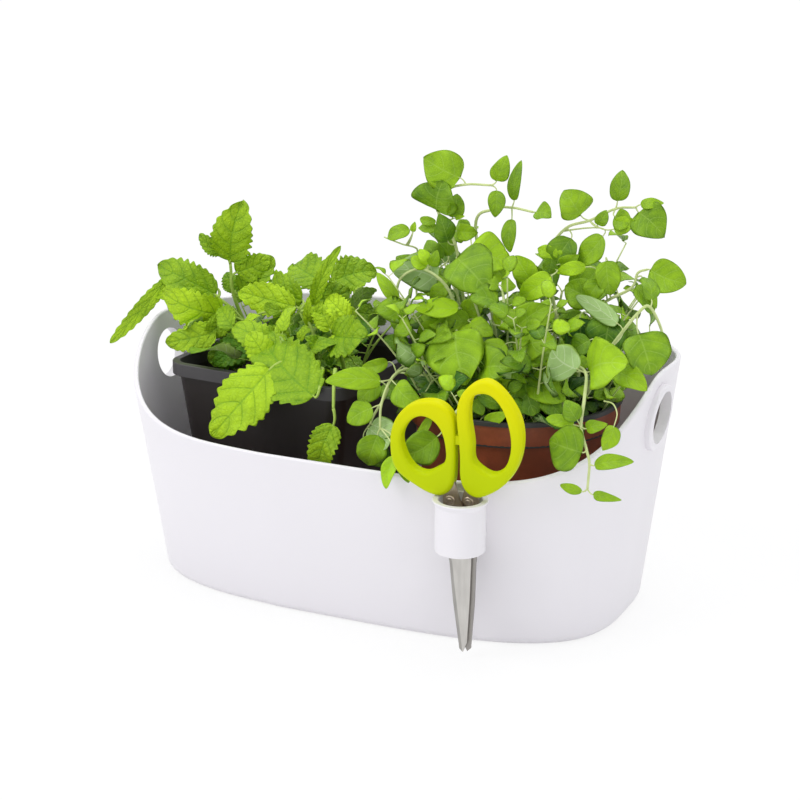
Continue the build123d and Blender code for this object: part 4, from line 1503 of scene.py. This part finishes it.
@dataclass
class Pots:
    """The two nursery pots and what fills them."""

    wall: float = 1.5 * MM
    band: float = 17.0 * MM
    lip: float = 3.0 * MM
    step: float = 3.4 * MM
    taper: float = 15.0 * MM
    rim_edge: float = 1.2 * MM
    rim_inset: float = 0.8 * MM
    turned_rim: float = 9.0 * MM
    balls: int = 700
    fillings: Sequence[tuple[str, str, float, float, float]] = (
        ("square_pot_soil", "square_potted_balm", 10.0, -4.5, 1.0 * MM),
        ("round_pot_soil", "round_potted_oregano", 2.0, 0.0, 0.6 * MM),
    )

    def build(self) -> None:
        """Paint both pots and both fillings, and lay loose crumbs on the fillings."""
        low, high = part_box("round_pot")
        radius = (high.x - low.x) / 2
        shoulder = radius - self.rim_edge - self.rim_inset - self.step
        clay = ClayPotFinish(
            name="clay_plastic", clay=(0.27, 0.060, 0.022), inside=(0.030, 0.030, 0.033),
            centre=((low.x + high.x) / 2, (low.y + high.y) / 2), foot_radius=shoulder - self.taper,
            shoulder_radius=shoulder, band_radius=radius - self.rim_edge, band_low=high.z - self.band,
            lip_low=high.z - self.lip, foot=low.z, wall=self.wall,
        )
        paint("round_pot", clay.material())
        low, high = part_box("square_pot")
        dark = DarkPotFinish(
            name="dark_plastic", colour=(0.022, 0.016, 0.014), pale_tint=(0.10, 0.10, 0.11),
            rim_low=high.z - self.turned_rim,
        )
        paint("square_pot", dark.material())
        compost = CompostFinish("compost", (0.010, 0.007, 0.005), (0.06, 0.04, 0.025)).material()
        for node, body, corners, turn, inset in self.fillings:
            paint(node, compost)
            piece = make_piece(node + "_crumbs", self.crumbs(node, corners, turn, inset), compost)
            dress(piece, body)

    def crumbs(self, node: str, corners: float, turn: float, inset: float) -> Surface:
        """Loose top of a pot's filling.

        The plan is the superellipse |x|^k + |y|^k = R^k scaled by a share from the middle out; the
        height is the highest of many scattered half balls over slow swells, 0 at the edge, and a flat
        underside closes it.

        Args:
            node: the filling.
            corners: exponent k of the plan.
            turn: the pot's turn in degrees.
            inset: clearance from the filling's edge.

        Returns:
            The closed surface.
        """
        low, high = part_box(node)
        angle = np.linspace(0, FULL_TURN, 160, endpoint=False)
        share = np.linspace(0.01, 1, 64)
        tilt = math.radians(turn)
        reach = (high.x - low.x) / 2 / (math.cos(tilt) + (abs(math.sin(tilt)) if corners > 2 else 0)) - inset
        plan = reach / (np.abs(np.cos(angle)) ** corners + np.abs(np.sin(angle)) ** corners) ** (1 / corners)
        x = np.cos(angle + tilt) * plan * share[:, None]
        y = np.sin(angle + tilt) * plan * share[:, None]
        random = np.random.default_rng(len(node))
        balls = random.uniform(-reach, reach, (self.balls, 2))
        radius = random.uniform(1.0, 3.2, self.balls) * MM
        height = 0.8 * MM * (1 + np.sin(70 * x + 2) * np.sin(60 * y))
        gap = (x[..., None] - balls[:, 0]) ** 2 + (y[..., None] - balls[:, 1]) ** 2
        height = height + np.sqrt(np.maximum(radius ** 2 - gap, 0)).max(axis=-1)
        height = height * np.clip((1 - share[:, None]) * 12, 0, 1)
        top = np.stack([x, y, height], axis=-1).reshape(-1, 3)
        under = np.stack([x[[-1, 0]], y[[-1, 0]], np.full_like(x[[-1, 0]], -MM)], axis=-1).reshape(-1, 3)
        points = np.concatenate([top, under]) + ((low.x + high.x) / 2, (low.y + high.y) / 2, high.z)
        rows, sides = len(share) + 2, len(angle)
        caps = [cap_quads(0, sides), cap_quads((rows - 1) * sides, sides)[:, ::-1]]
        quads = np.concatenate([grid_quads(rows, sides, close_columns=True), *caps])
        return Surface(points, quads, points[:, :2] / reach, np.zeros(len(points)), np.zeros(len(points)))


@dataclass
class Studio:
    """Pale floor, soft surround and soft lamps."""

    floor_half: float = 6.0
    floor_white: float = 0.80
    floor_fade: tuple[float, float] = (0.25, 0.60)
    surround: Colour = (0.95, 0.97, 1.0)
    surround_strength: float = 0.66
    aim: Point = (0.0, 0.0, 0.12)
    lamps: Sequence[tuple[str, Point, float, float]] = (
        ("key", (-1.3, -1.5, 1.9), 1.4, 24.0),
        ("top", (0.2, 0.5, 2.2), 1.6, 18.0),
        ("fill", (1.9, -0.9, 0.9), 1.2, 6.0),
    )

    def lamp(self, name: str, place: Point, size: float, power: float) -> None:
        """One square area lamp, turned to the planter.

        Args:
            name: its name.
            place: where it hangs.
            size: its side in metres.
            power: its power in watts.
        """
        data = bpy.data.lights.new(name, "AREA")
        data.size = size
        data.energy = power
        lamp = bpy.data.objects.new(name, data)
        lamp.location = place
        lamp.rotation_mode = "QUATERNION"
        lamp.rotation_quaternion = (Vector(self.aim) - Vector(place)).to_track_quat("-Z", "Y")
        bpy.context.scene.collection.objects.link(lamp)

    def world(self) -> None:
        """Soft surround, plain white where the camera or a reflection sees it."""
        graph = Graph("studio", world=True)
        soft = graph.add("ShaderNodeBackground", {}, self.surround, self.surround_strength)
        white = graph.add("ShaderNodeBackground", {}, (1.0, 1.0, 1.0), 1.0)
        bpy.context.scene.world = graph.blend(graph.seen(), soft, white)

    def floor(self) -> None:
        """Pale floor: diffuse to the light, plain white to the camera but for a faint shadow near the tub."""
        half = self.floor_half
        points = np.array([[-half, -half, 0], [half, -half, 0], [half, half, 0], [-half, half, 0]])
        square = Surface(points, np.array([[0, 1, 2, 3]]), points[:, :2], np.zeros(4), np.zeros(4))
        graph = Graph("studio_floor")
        x, y, _ = graph.split(graph.place())
        away = (x * x + y * y).power(0.5).ramp(*self.floor_fade)
        share = graph.seen() * (self.floor_white + away * (1 - self.floor_white))
        matt = graph.add("ShaderNodeBsdfDiffuse", {}, (0.92, 0.92, 0.92))
        glow = graph.add("ShaderNodeEmission", {}, (1.0, 1.0, 1.0), 1.02)
        make_piece("floor", square, graph.blend(share, matt, glow))

    def build(self) -> None:
        """Set up floor, surround, lamps and camera."""
        bpy.context.scene.view_settings.view_transform = "Standard"
        self.floor()
        self.world()
        for name, place, size, power in self.lamps:
            self.lamp(name, place, size, power)
        CAMERA.build()


def plantings() -> list[Planting]:
    """The two herbs with their finishes."""
    balm_leaf = LeafFinish(
        name="balm_leaf", deep=(0.075, 0.21, 0.005), bright=(0.52, 0.78, 0.012), vein=(0.10, 0.29, 0.008),
        under=(0.42, 0.62, 0.14), under_vein=(0.60, 0.74, 0.36), vein_pairs=BALM_FORM.vein_pairs,
        vein_lean=BALM_FORM.vein_lean, vein_mix=0.42, quilt_scale=360.0, quilt_depth=0.35 * MM,
        quilt_shade=0.09, roughness=0.46,
    )
    oregano_leaf = LeafFinish(
        name="oregano_leaf", deep=(0.035, 0.13, 0.005), bright=(0.44, 0.72, 0.012), vein=(0.46, 0.68, 0.12),
        under=(0.38, 0.56, 0.20), under_vein=(0.66, 0.78, 0.46), vein_pairs=OREGANO_FORM.vein_pairs,
        vein_lean=OREGANO_FORM.vein_lean, vein_mix=0.24, quilt_scale=560.0, quilt_depth=0.12 * MM,
        quilt_shade=0.05, roughness=0.42,
    )
    balm_thicket = Thicket(
        shoots=15, spread=0.050, height=(0.018, 0.052), splay=0.45, pair_gap=0.015, leaf_length=(0.022, 0.038),
        slimness=0.72, low=(-0.150, -0.070, 0.10), high=(-0.014, 0.084, 0.205),
    )
    oregano_thicket = Thicket(
        shoots=50, spread=0.058, height=(0.034, 0.112), splay=0.42, pair_gap=0.014, leaf_length=(0.012, 0.026),
        slimness=0.74, low=(-0.002, -0.090, 0.10), high=(0.162, 0.088, 0.250),
    )
    return [
        Planting(
            herb=Herb.BALM, body="square_potted_balm", soil_node="square_pot_soil", form=BALM_FORM,
            leaf_finish=balm_leaf, stem_finish=StemFinish("balm_stem", (0.30, 0.50, 0.04), (0.52, 0.66, 0.14)),
            stem_radius=1.5 * MM, stem_corners=3.5, stalk_radius=0.95 * MM, sprigs=BALM_SPRIGS,
            seen_stems=BALM_SEEN_STEMS, seen_leaves=BALM_SEEN_LEAVES, thicket=balm_thicket,
            thicket_form=replace(BALM_FORM, along=41, across=11), seed=7,
        ),
        Planting(
            herb=Herb.OREGANO, body="round_potted_oregano", soil_node="round_pot_soil", form=OREGANO_FORM,
            leaf_finish=oregano_leaf,
            stem_finish=StemFinish("oregano_stem", (0.44, 0.58, 0.14), (0.74, 0.78, 0.42)),
            stem_radius=1.2 * MM, stem_corners=2.4, stalk_radius=0.45 * MM, sprigs=OREGANO_SPRIGS,
            seen_stems=OREGANO_SEEN_STEMS, seen_leaves=OREGANO_SEEN_LEAVES, thicket=oregano_thicket,
            thicket_form=replace(OREGANO_FORM, along=9, across=5), seed=11,
        ),
    ]


def main() -> None:
    """Build the sub-assemblies in order, then the studio."""
    logging.basicConfig(level=logging.INFO, format="%(message)s")
    Tub().build()
    Scissors().build()
    Pots().build()
    for planting in plantings():
        planting.build()
    Studio().build()


if __name__ == "__main__":
    main()
